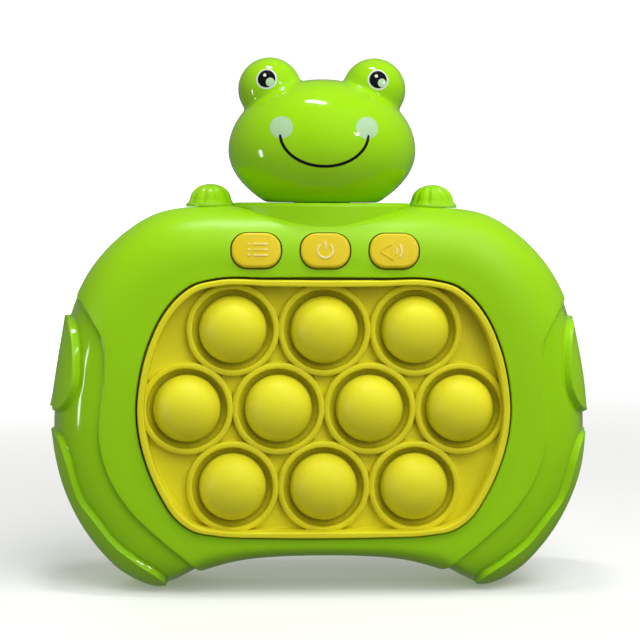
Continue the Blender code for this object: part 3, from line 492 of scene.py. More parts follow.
def ring_shares(span, marks, counts):
    """Shares for the rings: an even run between each two marks, and a close bunch of rings
    on both sides of each inner mark. Marks are distances from the outline."""
    rows = [np.zeros_like(span)]
    start = np.zeros_like(span)
    for mark, count in zip(marks, counts):
        half = np.minimum(bunch_run, (mark - start) / 3)
        half = np.where(mark >= span, 0, half)
        for t in np.linspace(0, 1, count + 1)[1:]:
            rows.append(start + (mark - half - start) * t)
        for t in np.linspace(-1, 1, bunch_rings + 1)[1:] if mark is not marks[-1] else ():
            rows.append(mark + half * t)
        start = mark + half
    return np.array(rows) / span


# %% [markdown]
# ## Front shell
#
# The front shell is a bowl 2 mm thick with a large opening for the pad. Its middle stands
# a step above its sides. An inner skin closes the bowl, so that it is one solid wall, and
# a thin tongue behind the outline reaches past the seam, as on the real shells, so no
# light shows through the parting line.

# %% Rings of the front shell
mouth_lip = 0.4 * MM
inner_rings = 14
seam_bevel = 0.25 * MM
tongue_past = 1.5 * MM
tongue_insets = (wall + 0.1 * MM, wall + 0.9 * MM)


def front_shell_rings():
    """From the outline in to the mouth, round its lip, and back along the inner skin."""
    span = outline_reach - mouth_reach(angles)
    plate_mark = outline_reach - np.minimum(outline_reach - plate_lip, plate_line)
    grip_mark = np.minimum(grip_marks(span), plate_mark / 2)
    share = ring_shares(span, (grip_mark, plate_mark, span), (12, 12, 22))
    out = outline_reach - share * span
    low = step(beyond(plate_line, out), plate_width)
    outer = lifted(front_skin, 1, share, grip_rise(out) - plate_step * low)

    turn = np.linspace(0, math.pi / 2, 6)[1:, None]
    round_out = mouth_reach(angles) - mouth_lip * np.sin(turn)
    round_depth = face_depth - mouth_lip * (1 - np.cos(turn))
    bend = at(round_out * np.sin(angles), round_depth, pad_height + round_out * np.cos(angles))
    bend = bend + (outer[-1] - bend[0]) * (1 - np.linspace(0, 1, len(bend)))[:, None, None]

    inner_share = np.linspace(1, 0, inner_rings)[:, None] * np.ones(body_count)
    inner = front_skin(angles, inner_share, wall)
    near, far = tongue_insets
    tongue = [edge_ring(far, -tongue_past), edge_ring(near, -tongue_past), edge_ring(near, seam_gap / 2)]
    return np.concatenate([outer[1:], bend, inner[:-1], tongue, [edge_ring(seam_bevel, seam_gap / 2)]])


def edge_ring(inset, depth):
    """The outline, drawn in by an amount, at a depth."""
    out = outline_reach - inset
    return at(out * np.sin(angles), depth, pad_height + out * np.cos(angles))


front = put("front_shell_skin", [ring_body(front_shell_rings(), loop=True)])
print("front shell grid:", len(front.data.vertices), "points")

# %% [markdown]
# ## The neck
#
# Under the head each shell carries half of a short oval neck, whose flat top lies just
# above the shoulders. Its front runs out into the swelling face, which leaves the curved
# crease seen above the buttons. A Boolean union finds that crease exactly.

# %% Half necks
neck_half_width = 25.5 * MM
neck_depth = 17.5 * MM
neck_top = 109.0 * MM
neck_bottom = 102.0 * MM
neck_edge = 1.2 * MM
hair = 0.03 * MM
above_neck = 115 * MM


def half_neck(name, side, inset, levels):
    """Half of an upright oval column, from its (height, further inset) levels. Its flat
    stays a hair off the seam's plane, so that no two faces share a plane."""
    turn = np.linspace(0, math.pi, 65)
    start = seam_gap / 2 + hair
    rings = []
    for z, edge in levels:
        xs = (neck_half_width - inset - edge) * np.cos(turn)
        depths = start + (neck_depth - start - inset - edge) * np.sin(turn)
        rings.append(at(xs, side * depths, z))
    return put(name, [ring_body(rings)])


def neck_levels():
    """A straight side with a round upper edge."""
    turn = np.linspace(0, math.pi / 2, 9)
    bend = [(neck_top - neck_edge * (1 - math.sin(t)), neck_edge * (1 - math.cos(t))) for t in turn]
    return [(neck_bottom, 0.0)] + bend


knob_offset = 31.6 * MM
knob_rise = 6.5 * MM
knob_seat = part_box("right_shoulder_knob")[1].z - knob_rise - seam_gap
knob_bore, knob_recess, knob_hole_depth = 3.7 * MM, 7.3 * MM, 5 * MM
stem_bore = 8.3 * MM
neck_roof = 2.6 * MM
neck_overrun = 3 * MM


def neck_tools(side):
    """The hollow of the neck, then the bore for the head's stem and the knobs' seats."""
    levels = ((neck_bottom - neck_overrun, 0), (neck_top - neck_roof, 0))
    bores = [upright((0, 0), ((stem_bore, neck_bottom), (stem_bore, above_neck)), 64)]
    seat = ((knob_bore, knob_seat - knob_hole_depth), (knob_bore, knob_seat))
    seat += ((knob_recess, knob_seat), (knob_recess, above_neck))
    bores += [upright((x, 0), seat, 64) for x in (knob_offset, -knob_offset)]
    return [half_neck("tool_hollow", side, wall, levels), put("tool_bores", bores)]


carve(front, [half_neck("tool_neck", 1, 0, neck_levels())], "UNION")
carve(front, neck_tools(1))

# %% [markdown]
# ## Openings in the front shell
#
# The three button holes tilt with the face. Their edges are broken by a small chamfer,
# which a cutter with a flared mouth leaves in the same cut. The soles are cut flat.

# %% Button holes and soles
button_tilt = 12 * DEG
button_names = ("menu", "power", "volume")
button_pitch = 18.94 * MM
button_height = 96.2 * MM
button_edge = body_height - button_height
button_mouth = body_height - (pad_height + pad_half_height + slide_gap)
button_proud = 0.9 * MM
button_depth = seam_gap / 2 + button_proud
button_depth += (face_depth - seam_gap / 2) * float(swell(button_edge / button_mouth / front_round_share))
button_half = (6.75 * MM, 4.8 * MM)
button_corner = 4.4 * MM
button_hole = np.array(((3.4, -3), (0.75, 0.35), (0.4, 0.7), (0.4, 5))) * MM
far_off = 100 * MM
under_floor = 3 * MM


def along_button(x, outline, back):
    """Points (x, z) of a button's outline, a distance behind its face, turned with the tilt."""
    z = outline[..., 1]
    y = np.broadcast_to(np.asarray(back, float), z.shape)
    cosine, sine = math.cos(button_tilt), math.sin(button_tilt)
    ys = seam_y - button_depth + y * cosine + z * sine
    return np.stack([x + outline[..., 0], ys, button_height - y * sine + z * cosine], axis=-1)


def button_ring(x, grow, back):
    """A button's outline, grown by an amount, a distance behind its face."""
    outline = rounded_rectangle(button_half[0] + grow, button_half[1] + grow, button_corner + grow)
    return along_button(x, outline, back)


button_places = [(i - 1) * button_pitch for i in range(len(button_names))]
holes = [ring_body([button_ring(x, grow, back) for grow, back in button_hole]) for x in button_places]
below_soles = box_body((-far_off, -far_off, -under_floor), (far_off, far_off, 0.0))
carve(front, [put("tool_openings", holes + [below_soles])])
print("front shell carved:", len(front.data.polygons), "faces")

# %% [markdown]
# ## Rear shell
#
# The rear shell is the same kind of bowl, closed by a broad flat. It carries everything
# that the hand needs behind: six screw wells, the battery bay with its recess for the
# door, and a grille in front of the speaker. The bowl is one run of rings from the middle
# of the flat, out to the seam and back in again. The box of the bay and the posts of the
# wells are joined on, and every hollow is then cut out, in the order a mould would have it.

# %% Rings of the rear shell
flat_shares = (0.85, 0.6, 0.35, 0.12)
bunch_limit = 0.8


def across_flat(ring, shares):
    """Rings between a flat ring and the point behind the pad's middle."""
    middle = np.array((0, ring[:, 1].mean(), pad_height))
    return middle + (ring - middle) * np.array(shares)[:, None, None]


def rear_shell_rings():
    """From the middle of the flat out to the seam, and back along the inner skin."""
    span = outline_reach - flat_reach(angles)
    grip_mark = np.minimum(grip_marks(span), span * bunch_limit)
    share = ring_shares(span, (grip_mark, span), (14, 22))
    outer = lifted(back_skin, -1, share, grip_rise(outline_reach - share * span))
    outer[-1] = back_skin(angles, share[-1])
    inner_share = np.linspace(0, 1, inner_rings)[:, None] * np.ones(body_count)
    inner = back_skin(angles, inner_share, wall)
    rings = [across_flat(outer[-1], flat_shares[::-1]), outer[:0:-1]]
    rings.append(edge_ring(seam_bevel, -seam_gap / 2)[None])
    return np.concatenate(rings + [inner, across_flat(inner[-1], flat_shares)])


rear = put("rear_shell_skin", [ring_body(rear_shell_rings())])
print("rear shell grid:", len(rear.data.vertices), "points")

# %% Screw posts and the box of the battery bay
screw_shares = ((0.97, 0.835), (1.126, -0.06), (0.893, -0.966))
screw_places = [
    (side * across * pad_half_width, pad_height + up * pad_half_height)
    for across, up in screw_shares
    for side in (1, -1)
]
post_radius = 5 * MM
post_sink = 0.4 * MM
bay_box = np.array(((-33.95, -20.6, 12.55), (33.95, -2.4, 71.85))) * MM


def back_depth_at(x, z):
    """How far behind the seam the back face lies at places, by the same swell as the skin."""
    turn = np.arctan2(x, z - pad_height)
    edge = reach(body_outline, turn)
    return back_depth * swell((edge - np.hypot(x, z - pad_height)) / (edge - flat_reach(turn)))


posts = []
for x, z in screw_places:
    turn = turns_of(48)
    round_post = back_depth_at(x + post_radius * np.cos(turn), z + post_radius * np.sin(turn))
    root = round_post.min() - post_sink
    posts.append(turned((x, z), ((post_radius, -seam_gap / 2), (post_radius, -root)), 48))
posts.append(box_body(*bay_box))
carve(rear, [put("tool_posts", posts), half_neck("tool_neck", -1, 0, neck_levels())], "UNION")
print("posts:", len(screw_places), "and the box of the bay")

# %% Hollows of the rear shell
door_middle = 42.198 * MM
door_half = (32.45 * MM, 28.15 * MM)
door_corner = 3.0 * MM
door_screw = (0.0, 18.8 * MM)
door_recess = np.array(((1.3, -24), (1.3, -21.5), (0.3, -20.6), (0.3, -18.7))) * MM
screw_well = np.array(((3.3, -24), (3.3, -6), (1.6, -6.02), (1.6, 3))) * MM
boss_room = np.array(((4.6, -24), (4.6, -16.7), (1.95, -16.68), (1.95, -12.7))) * MM
bay_hollow = np.array(((-28.45, -24, 23.55), (28.45, -3.9, 68.85))) * MM
hook_places = (-18 * MM, 18 * MM)
hook_pocket = np.array(((-4.4, -18.9, 67.65), (4.4, -16.1, 72.85))) * MM
grille_height = 83.0 * MM
grille_radius = 7.6 * MM
slot_count = 5
slot_pitch = 3.2 * MM
slot_half_width = 0.8 * MM
slot_flare = np.array(((1.0, -24), (1.0, -21.6), (0.0, -20.6), (0.0, -18))) * MM


def door_ring(grow, depth):
    """The battery door's outline, grown by an amount, at a depth."""
    line = rounded_rectangle(door_half[0] + grow, door_half[1] + grow, door_corner + grow)
    return at(line[:, 0], depth, door_middle + line[:, 1])


def slot_ring(x, half, grow, depth):
    """An upright slot of the grille, grown by an amount, at a depth."""
    line = stadium(half + grow, slot_half_width + grow)
    return at(x + line[:, 1], depth, grille_height + line[:, 0])


from_behind = [turned(place, screw_well, 48) for place in screw_places]
from_behind.append(ring_body([door_ring(grow, depth) for grow, depth in door_recess]))
for i in range(slot_count):
    x = (i - (slot_count - 1) / 2) * slot_pitch
    half = math.sqrt(grille_radius**2 - x * x)
    from_behind.append(ring_body([slot_ring(x, half, grow, depth) for grow, depth in slot_flare]))
from_behind.append(below_soles)
behind_door = [box_body(*bay_hollow), turned(door_screw, boss_room, 64)]
for_hooks = [box_body(*(hook_pocket + (x, 0, 0))) for x in hook_places]
tools = [put("tool_hollows", shapes) for shapes in (from_behind, behind_door, for_hooks)]
carve(rear, neck_tools(-1) + tools)
print("rear shell carved:", len(rear.data.polygons), "faces")

# %% [markdown]
# ## Battery door
#
# The door is a flat lid with round edges. Two tongues at its top hook into pockets of the
# shell, and one screw in a boss holds its foot. A row of shallow grooves near the foot
# gives a finger something to pull on. The lid is a stack of outlines, the rest is joined
# or cut.

# %% Lid, tongues and grooves
lid_profile = rounded(((-0.5, -21.0), (0.0, -21.0), (0.0, -19.0), (-0.3, -19.0)), 0.45, 6) * MM
tongue_line = ((67.96, -18.6), (72.548, -18.6), (72.548, -17.3), (67.96, -17.3))
tongue_line = rounded(tongue_line, 0.35, 5) * MM
tongue_sides = np.array(((-4,), (4,))) * MM
tongue_root = np.array(((-4.05, -19.4, 67.948), (4.05, -17.28, 70.048))) * MM
door_boss = np.array(((4.2, -19.4), (4.2, -17))) * MM
boss_bore = ((3.7, -24), (3.7, -21.4), (3.3, -20.7), (3.3, -19), (1.7, -19.02), (1.7, -10))
boss_bore = np.array(boss_bore) * MM
groove_count = 5
lowest_groove = 27.5 * MM
groove_pitch = 2.4 * MM
groove_half_length = 9 * MM
groove_profile = np.array(((0.85, -21.3), (0.55, -20.9), (0.4, -20.65), (0.2, -20.55))) * MM

door = put("battery_door_lid", [ring_body([door_ring(grow, depth) for grow, depth in lid_profile])])
roots, tongues = [], []
for x in hook_places:
    roots.append(box_body(*(tongue_root + (x, 0, 0))))
    tongues.append(ring_body(at(x + tongue_sides, tongue_line[:, 1], tongue_line[:, 0])))
roots.append(turned(door_screw, door_boss, 64))
carve(door, [put("tool_roots", roots), put("tool_tongues", tongues)], "UNION")
grooves = []
for i in range(groove_count):
    z = lowest_groove + groove_pitch * i
    lines = [(stadium(groove_half_length + half, half), depth) for half, depth in groove_profile]
    grooves.append(ring_body([at(line[:, 0], depth, z + line[:, 1]) for line, depth in lines]))
carve(door, [put("tool_grooves", grooves)])
carve(door, [put("tool_screw_room", [turned(door_screw, boss_bore, 64)])])
print("battery door:", len(door.data.polygons), "faces with", len(grooves), "grooves")

# %% [markdown]
# ## Head
#
# The frog's head is a wide egg with two balls for the eyes, moulded in two halves that
# meet in the same plane as the body's. Balls joined by a Boolean would meet in a hard
# crease. On the toy the crease is slightly filled, so the whole head is one field: each
# form gives a distance, and a smooth minimum of the distances blends them. Rays from the
# middle of the seam then find the surface by halving an interval, all at once.

# %% The head as one field
head_height = 123.71 * MM
head_base = 109.12 * MM
head_wide = 26.6 * MM
head_deep = 21.0 * MM
head_up, head_down = 20.2 * MM, 19.2 * MM
head_taper = 0.13
head_size = 20 * MM
base_round = 0.5 * MM
eye_radius = 9.0 * MM
eye_crease = 1.3 * MM
eye_places = [np.array((side * 14.845 * MM, seam_y + 2 * MM, 141.102 * MM)) for side in (-1, 1)]
head_middle = np.array((0, seam_y, head_height))
longest_reach = 40 * MM
halvings = 26


def blended(a, b, width):
    """A smooth minimum: the lesser of two values, less a quarter of the width where they
    are equal."""
    mix = np.clip(1 - np.abs(a - b) / width, 0, 1)
    return np.minimum(a, b) - mix * mix * width / 4


def cheek_size(z):
    """The egg's taper towards the neck: 1 above its middle, 1 - taper s^2 below."""
    low = np.clip(-z / head_down, 0, 1)
    return 1 - head_taper * low * low


def head_field(points):
    """Below zero inside the head: the egg, blended with the balls, above its flat base."""
    x, y, z = (points - head_middle).transpose((points.ndim - 1, *range(points.ndim - 1)))
    tall = np.where(z > 0, head_up, head_down)
    size = cheek_size(z)
    egg = np.sqrt((x / head_wide / size) ** 2 + (y / head_deep / size) ** 2 + (z / tall) ** 2)
    egg = (egg - 1) * head_size
    for eye in eye_places:
        egg = blended(egg, np.linalg.norm(points - eye, axis=-1) - eye_radius, eye_crease)
    return -blended(-egg, points[..., 2] - head_base, base_round)


def head_reach(start, ways):
    """How far the field's surface lies along each way, by halving 0 to 40 mm 26 times."""
    low = np.zeros(ways.shape[:-1])
    high = np.full(ways.shape[:-1], longest_reach)
    for _ in range(halvings):
        mid = (low + high) / 2
        inside = head_field(start + ways * mid[..., None]) < 0
        low, high = np.where(inside, mid, low), np.where(inside, high, mid)
    return low


# %% [markdown]
# Each half is a polar grid from the front or the back to the seam. The grid then runs on
# over the edge and back along an inner skin, so that the half is a hollow cup with a wall.
# The front one has a thin tongue that reaches past the seam inside the rear one, so no
# light shows through. Half of a stem with a flange hangs below each half and holds the
# head in the neck.

# %% Two halves
head_count = 360
head_rings = 131
inner_every = 6
stem_levels = (
    (103.704, 11.1), (104.1, 11.5), (105.7, 11.5), (106.104, 11.1), (106.2, 8.0), (110.3, 8.0),
)
stem_levels = np.array(stem_levels) * MM
stem_hole = np.array(((4.5, 100), (4.5, 112))) * MM


def head_half(name, side):
    """One half, the front one where side is 1 and the rear one where it is -1."""
    turn = turns_of(head_count)[None, :]
    lean = np.linspace(0, math.pi / 2, head_rings)[1:, None]
    right, up = np.sin(lean) * np.cos(turn), np.sin(lean) * np.sin(turn)
    ways = np.stack(np.broadcast_arrays(right, -side * np.cos(lean), up), axis=-1)
    ways[-1, :, 1] = 0
    start = head_middle + (0, -side * seam_gap / 2, 0)
    far = head_reach(start, ways)
    pole = head_reach(start, np.array((0, -side, 0.0)))
    outer = start + ways * far[..., None]
    keep = slice(None, None, -inner_every)
    inner = start + ways[keep] * (far[keep] - wall)[..., None]
    first = start + (0, -side * pole, 0)
    last = start + (0, -side * (pole - wall), 0)
    if side == 1:
        past = (0, tongue_past, 0)
        near, deep = (start + ways[-1] * (far[-1] - inset)[:, None] for inset in tongue_insets)
        outer = np.concatenate([outer, [near, near + past, deep + past]])
        inner = inner[1:]
    half = put(name, [ring_body(np.concatenate([outer, inner]), first, last)])
    stem = []
    half_turn = np.linspace(0, math.pi, 49)
    flat = seam_gap / 2 + hair
    for z, radius in stem_levels:
        depths = flat + (radius - flat) * np.sin(half_turn)
        stem.append(at(radius * np.cos(half_turn), side * depths, z))
    carve(half, [put("tool_stem", [ring_body(stem)])], "UNION")
    return carve(half, [put("tool_stem_bore", [upright((0, 0), stem_hole, 48)])])


head_front = head_half("head_front_skin", 1)
head_rear = head_half("head_rear_skin", -1)
print("head halves:", len(head_front.data.polygons), len(head_rear.data.polygons), "faces")

# %% [markdown]
# ## Face
#
# The face is printed on: two eyes that look up, round cheeks and a wide smile. A picture
# could colour the surface, but no images are used here, and a print has sharp edges that
# a coarse paint map would lose. Each patch of ink is therefore a very thin disc or ribbon
# that follows the curve below it, a few hundredths of a millimetre proud.

# %% Patches of ink
face_shift = -0.35 * MM
eye_yaw, eye_tilt = 5.5 * DEG, 16.5 * DEG
ink_root = 0.12 * MM
ink_rings = 10
ink_count = 96


def on_eye(eye, right, up, rise):
    """Places on an eye ball: right and up are lengths along the ball from its print's middle."""
    side = math.copysign(1.0, eye[0])
    yaw = side * eye_yaw + (face_shift + right) / eye_radius
    tilt = eye_tilt + up / eye_radius
    across, ahead = np.sin(yaw) * np.cos(tilt), -np.cos(yaw) * np.cos(tilt)
    way = np.stack(np.broadcast_arrays(across, ahead, np.sin(tilt)), axis=-1)
    return eye + way * (eye_radius + np.asarray(rise))[..., None]


def on_egg(right, up, rise):
    """Places on the front of the egg at a side and a height, raised outwards."""
    z = up - head_height
    size = cheek_size(z)
    tall = np.where(z > 0, head_up, head_down)
    deep = head_deep * size * np.sqrt(1 - (right / head_wide / size) ** 2 - (z / tall) ** 2)
    place = at(right, deep, up)
    out = place - head_middle
    return place + out / np.linalg.norm(out, axis=-1, keepdims=True) * np.asarray(rise)[..., None]


def ink_disc(surface, middle, radii, rise):
    """A disc of ink: rings on the surface out to the radii, which may change with the turn,
    then back below the surface."""
    turn = turns_of(ink_count)
    share = np.concatenate([np.linspace(0.06, 1, ink_rings), [1.0, 0.3]])[:, None]
    lift = np.concatenate([np.full(ink_rings - 1, rise), [rise * 0.6, -ink_root, -ink_root]])[:, None]
    right = middle[0] + share * radii * np.cos(turn)
    up = middle[1] + share * radii * np.sin(turn)
    return ring_body(surface(right, up, lift))


def round_ink(radius):
    """The same radius all round."""
    return np.full(ink_count, radius)


def cut_ink(middle, radius, within):
    """A spot's radii where a larger round patch, set round the origin, cuts it off."""
    turn = turns_of(ink_count)
    along = middle[0] * np.cos(turn) + middle[1] * np.sin(turn)
    edge = -along + np.sqrt(along**2 - middle[0] ** 2 - middle[1] ** 2 + within**2)
    return np.minimum(radius, edge)


# %% Eyes, cheeks and smile
low_ink, mid_ink, high_ink = 0.03 * MM, 0.05 * MM, 0.07 * MM
white_radius, pupil_radius, glint_radius, spot_radius = 3.12 * MM, 2.62 * MM, 0.52 * MM, 1.3 * MM
glint_place, spot_place = (-0.55 * MM, 0.95 * MM), (1.1 * MM, -1.1 * MM)
spot_limit = 2.55 * MM
cheek_side, cheek_height, cheek_radius = 11.75 * MM, 129.6 * MM, 3.1 * MM
smile_half_width, smile_height, smile_dip = 12.1 * MM, 127.9 * MM, 8.9 * MM
smile_rings = 97
smile_half_stroke = 0.4 * MM
smile_section = np.array((-1, -0.95, 0, 0.95, 1, 0.95, 0, -0.95)) * smile_half_stroke
smile_rises = np.array((-0.03, 0.06, 0.07, 0.06, -0.03, -0.12, -0.12, -0.12)) * MM

rings_of_white, pupils, glints, pale_spots = [], [], [], []
for eye in eye_places:
    def on_this_eye(right, up, rise, eye=eye):
        """The eye ball as a surface that takes a disc of ink."""
        return on_eye(eye, right, up, rise)

    rings_of_white.append(ink_disc(on_this_eye, (0, 0), round_ink(white_radius), low_ink))
    pupils.append(ink_disc(on_this_eye, (0, 0), round_ink(pupil_radius), mid_ink))
    glints.append(ink_disc(on_this_eye, glint_place, round_ink(glint_radius), high_ink))
    spot_radii = cut_ink(spot_place, spot_radius, spot_limit)
    pale_spots.append(ink_disc(on_this_eye, spot_place, spot_radii, high_ink))

cheeks = []
for side in (-1, 1):
    middle = (side * cheek_side + face_shift, cheek_height)
    cheeks.append(ink_disc(on_egg, middle, round_ink(cheek_radius), low_ink))

turn = np.linspace(0.02, math.pi - 0.02, smile_rings)
right = face_shift - smile_half_width * np.cos(turn)
line = np.stack([right, smile_height - smile_dip * np.sin(turn)], axis=1)
way = np.gradient(line, axis=0)
way /= np.linalg.norm(way, axis=1, keepdims=True)
half_run = (smile_rings - 1) / 2
from_middle = np.abs(np.arange(smile_rings) - half_run) / (half_run + 0.01)
ends = np.sqrt(np.clip(1 - from_middle**40, 0.04, 1))
right = line[:, :1] - way[:, 1:] * smile_section * ends[:, None]
up = line[:, 1:] + way[:, :1] * smile_section * ends[:, None]
smile = ring_body(on_egg(right, up, smile_rises))
print("patches of ink:", len(rings_of_white) + len(pupils) + len(glints) + len(pale_spots) + len(cheeks) + 1)

# %% [markdown]
# ## Shoulder knobs
#
# The two knobs are turned shapes with ten shallow flutes. A lathe profile gives the
# flange, the collar and the rounded cap, and the radius then dips ten times round, less
# and less towards the top.

# %% Knobs
flange_top = 1.1
cap_rise = 5.4
cap_radius = 6.1
foot_flare = 0.5
flute_depth = 0.5
flute_count = 10
knob_corners = ((0, -5.7), (3.4, -5.7), (3.4, 0), (7.0, 0), (7.0, flange_top), (5.2, flange_top))


def fluted_knob(name, side):
    """radius = profile - flutes, where the flutes are a high power of a cosine."""
    base = knob_seat + seam_gap
    low = rounded(knob_corners, 0.35, 6)
    rise = np.sin(np.linspace(0, math.pi / 2, 26))
    cap = cap_radius * (1 - rise**2.3) ** (1 / 2.1)
    foot = foot_flare * np.exp(-((rise / 0.09) ** 2))
    heights = np.concatenate([low[1:-1, 1], flange_top + cap_rise * rise]) * MM
    radii = np.concatenate([low[1:-1, 0], cap + foot]) * MM
    dips = flute_depth * np.sin(math.pi * np.clip(rise * 0.9 + 0.1, 0, 1)) ** 0.6
    depth = np.concatenate([np.zeros(len(low) - 2), dips]) * MM
    turn = turns_of(240)[None, :]
    flutes = np.abs(np.cos(turn * flute_count / 2)) ** 5
    radius = np.maximum(radii[:-1, None] - depth[:-1, None] * flutes, 0.02 * MM)
    rings = at(side * knob_offset + radius * np.cos(turn), radius * np.sin(turn), base + heights[:-1, None])
    tip = at(side * knob_offset, 0, base + heights[-1])
    return put(name, [ring_body(rings, last=tip)])


knobs = [fluted_knob("left_knob_cap", -1), fluted_knob("right_knob_cap", 1)]
print("knobs:", len(knobs), "of", len(knobs[0].data.polygons), "faces")

# %% [markdown]
# ## Bubble pad
#
# The pad is one piece of silicone: a flange that the shell holds down, a proud rounded
# rim, a sunken floor and ten round ridges that touch each other and leave small curved
# pockets between them. The rim and floor follow the pad's outline as one run of rings.
# Each ridge is a ring with a soft foot, joined on. It is turned a little further than the
# one before, so that no two of their edges coincide where they touch. The holes for the
# bubbles are cut through at the end.

# %% Pad
bubble_rows = (3, 4, 3)
bubble_pitch = 25.3 * MM
row_step = bubble_pitch * math.sqrt(3) / 2
bubble_places = [
    ((i - (count - 1) / 2) * bubble_pitch, pad_height + (1 - row) * row_step)
    for row, count in enumerate(bubble_rows)
    for i in range(count)
]
pad_angles = turns_of(360)
pad_reach = reach(pad_outline, pad_angles)


def pad_ring(grow, depth):
    """The pad's outline, grown by an amount, at a depth."""
    out = pad_reach + grow
    return at(out * np.sin(pad_angles), depth, pad_height + out * np.cos(pad_angles))


rim_corners = (
    (-2.45, 15.8), (-2.0, 15.8), (-1.9, 22.0), (-1.0, 22.0), (-0.1, 22.0), (0, 16.8), (1.3, 16.8),
    (1.3, 15.6), (0, 15.6), (0, 14.6), (-0.4, 14.6),
)
rim_line = rounded(rim_corners, 0.85, 7) * MM
rings = np.array([pad_ring(grow, depth) for grow, depth in rim_line])
pad_shares = (0.85, 0.6, 0.35, 0.15)
rings = [across_flat(rings[0], pad_shares[::-1]), rings, across_flat(rings[-1], pad_shares)]
pad = put("bubble_pad_skin", [ring_body(np.concatenate(rings))])

ridge_corners = (
    (9.6, 15.2), (11.02, 15.2), (11.12, 17.4), (11.2, 18.2), (11.6, 18.4), (12.1, 18.4), (12.72, 18.15),
    (12.85, 17.6), (12.95, 15.9), (13.15, 15.78), (13.15, 15.2),
)
ridge_line = rounded(ridge_corners, 0.22, 4) * MM
ridge_count = 120
ridge_twist = 0.31 * DEG
ridges = []
for i, (x, z) in enumerate(bubble_places):
    radii, depths = ridge_line.T
    turn = turns_of(ridge_count)[None, :] + ridge_twist * i
    ring = at(x + radii[:, None] * np.cos(turn), depths[:, None], z + radii[:, None] * np.sin(turn))
    ridges.append(ring_body(ring, loop=True))
carve(pad, [put("tool_ridges", ridges)], "UNION", overlapping=True)
hole_corners = (
    (9.5, 14), (9.5, 14.98), (9.9, 15.0), (10.5, 15.1), (10.85, 15.35), (11.0, 15.9), (11.06, 17.2),
    (11.06, 20),
)
hole_line = np.array(hole_corners) * MM
bubble_holes = [turned(place, hole_line, ridge_count) for place in bubble_places]
carve(pad, [put("tool_bubble_holes", bubble_holes)])
print("pad:", len(pad.data.polygons), "faces")

# %% [markdown]
# ## Bubbles
#
# Ten hollow domes stand in the ridges, each free to be pressed in by 3 mm. A dome is a
# turned profile: a short skirt, a little wider at its foot where it stands in its groove,
# a nearly elliptical cap, and a smaller cap inside. All ten share one function.

# %% Domes
dome_radius, inner_radius = 9.35, 8.15
dome_rise, inner_rise = 7.8, 6.6
dome_foot = 16.2
dome_fullness = 0.94


def dome_line():
    """The inner profile from near the top down, the skirt, and the outer one up again."""
    turn = np.linspace(0, math.pi / 2, 27)
    outer_radii = dome_radius * np.cos(turn) ** dome_fullness
    outer = np.stack([outer_radii, dome_foot + dome_rise * np.sin(turn)], axis=1)
    inner_radii = inner_radius * np.cos(turn)
    inner = np.stack([inner_radii, dome_foot + inner_rise * np.sin(turn)], axis=1)[::2]
    skirt = np.array(((inner_radius, 14.5), (9.47, 14.5), (9.47, 14.9), (dome_radius, 15.3)))
    return np.concatenate([inner[-2::-1], skirt, outer[:-1]]) * MM


def dome_piece(i, place):
    """The dome of one bubble: the profile turned about the bubble's middle."""
    x, z = place
    radii, depths = dome_line().T
    turn = turns_of(112)[None, :]
    rings = at(x + radii[:, None] * np.cos(turn), depths[:, None], z + radii[:, None] * np.sin(turn))
    tops = (dome_foot + inner_rise, dome_foot + dome_rise)
    poles = [at(x, depth * MM, z) for depth in tops]
    return put(f"bubble_{i + 1:02d}_cap", [ring_body(rings, *poles)])


domes = [dome_piece(i, place) for i, place in enumerate(bubble_places)]
print("domes:", len(domes), "of", len(domes[0].data.polygons), "faces")

# %% [markdown]
# ## Buttons and their signs
#
# Each push button is a rounded cap, slightly crowned, with a flange behind the shell and
# a stem to its switch. The signs are moulded on in low relief: a list, a power ring and a
# loudspeaker. A stroke is a small half-round bar swept along a path, so the three signs
# need only paths, and each stroke is joined on to the cap.

# %% Caps
button_crown = 0.14 * MM
button_edge_round = 0.75 * MM
button_flange = np.array(((0, 5.0), (0.7, 5.0), (0.7, 6.0))) * MM
button_stem_radius = 1.8 * MM
button_stem_run = (5.5 * MM, 11.84 * MM)


def button_outline_share(x, share, back):
    """The button's flat top, drawn in towards its middle to a share of its size."""
    half_width, half_height = (half - button_edge_round for half in button_half)
    line = rounded_rectangle(half_width, half_height, button_corner - button_edge_round)
    return along_button(x, line * share, back)


def button_cap(name, x):
    """The cap: a crowned top, a round edge, straight sides and a flange, then its stem."""
    shares = (0.15, 0.4, 0.65)
    rows = [button_outline_share(x, share, button_crown * share * share) for share in shares]
    edge = button_edge_round
    bend = np.linspace(0, math.pi / 2, 8)
    profile = [(-edge + edge * math.sin(t), button_crown + edge * (1 - math.cos(t))) for t in bend]
    profile += [*button_flange]
    rows += [button_ring(x, grow, back) for grow, back in profile]
    cap = put(name + "_button_cap", [ring_body(np.array(rows))])
    turn = turns_of(40)
    circle = np.stack([np.cos(turn), np.sin(turn)], axis=1) * button_stem_radius
    stem = [along_button(x, circle, back) for back in button_stem_run]
    return carve(cap, [put("tool_button_stem", [ring_body(np.array(stem))])], "UNION")


# %% Strokes of the signs
stroke_section = np.array((-1, -0.8, 0, 0.8, 1, 1, -1))
stroke_backs = np.array((0.02, -0.13, -0.2, -0.13, 0.02, 0.5, 0.5)) * MM
tip_share = 0.35


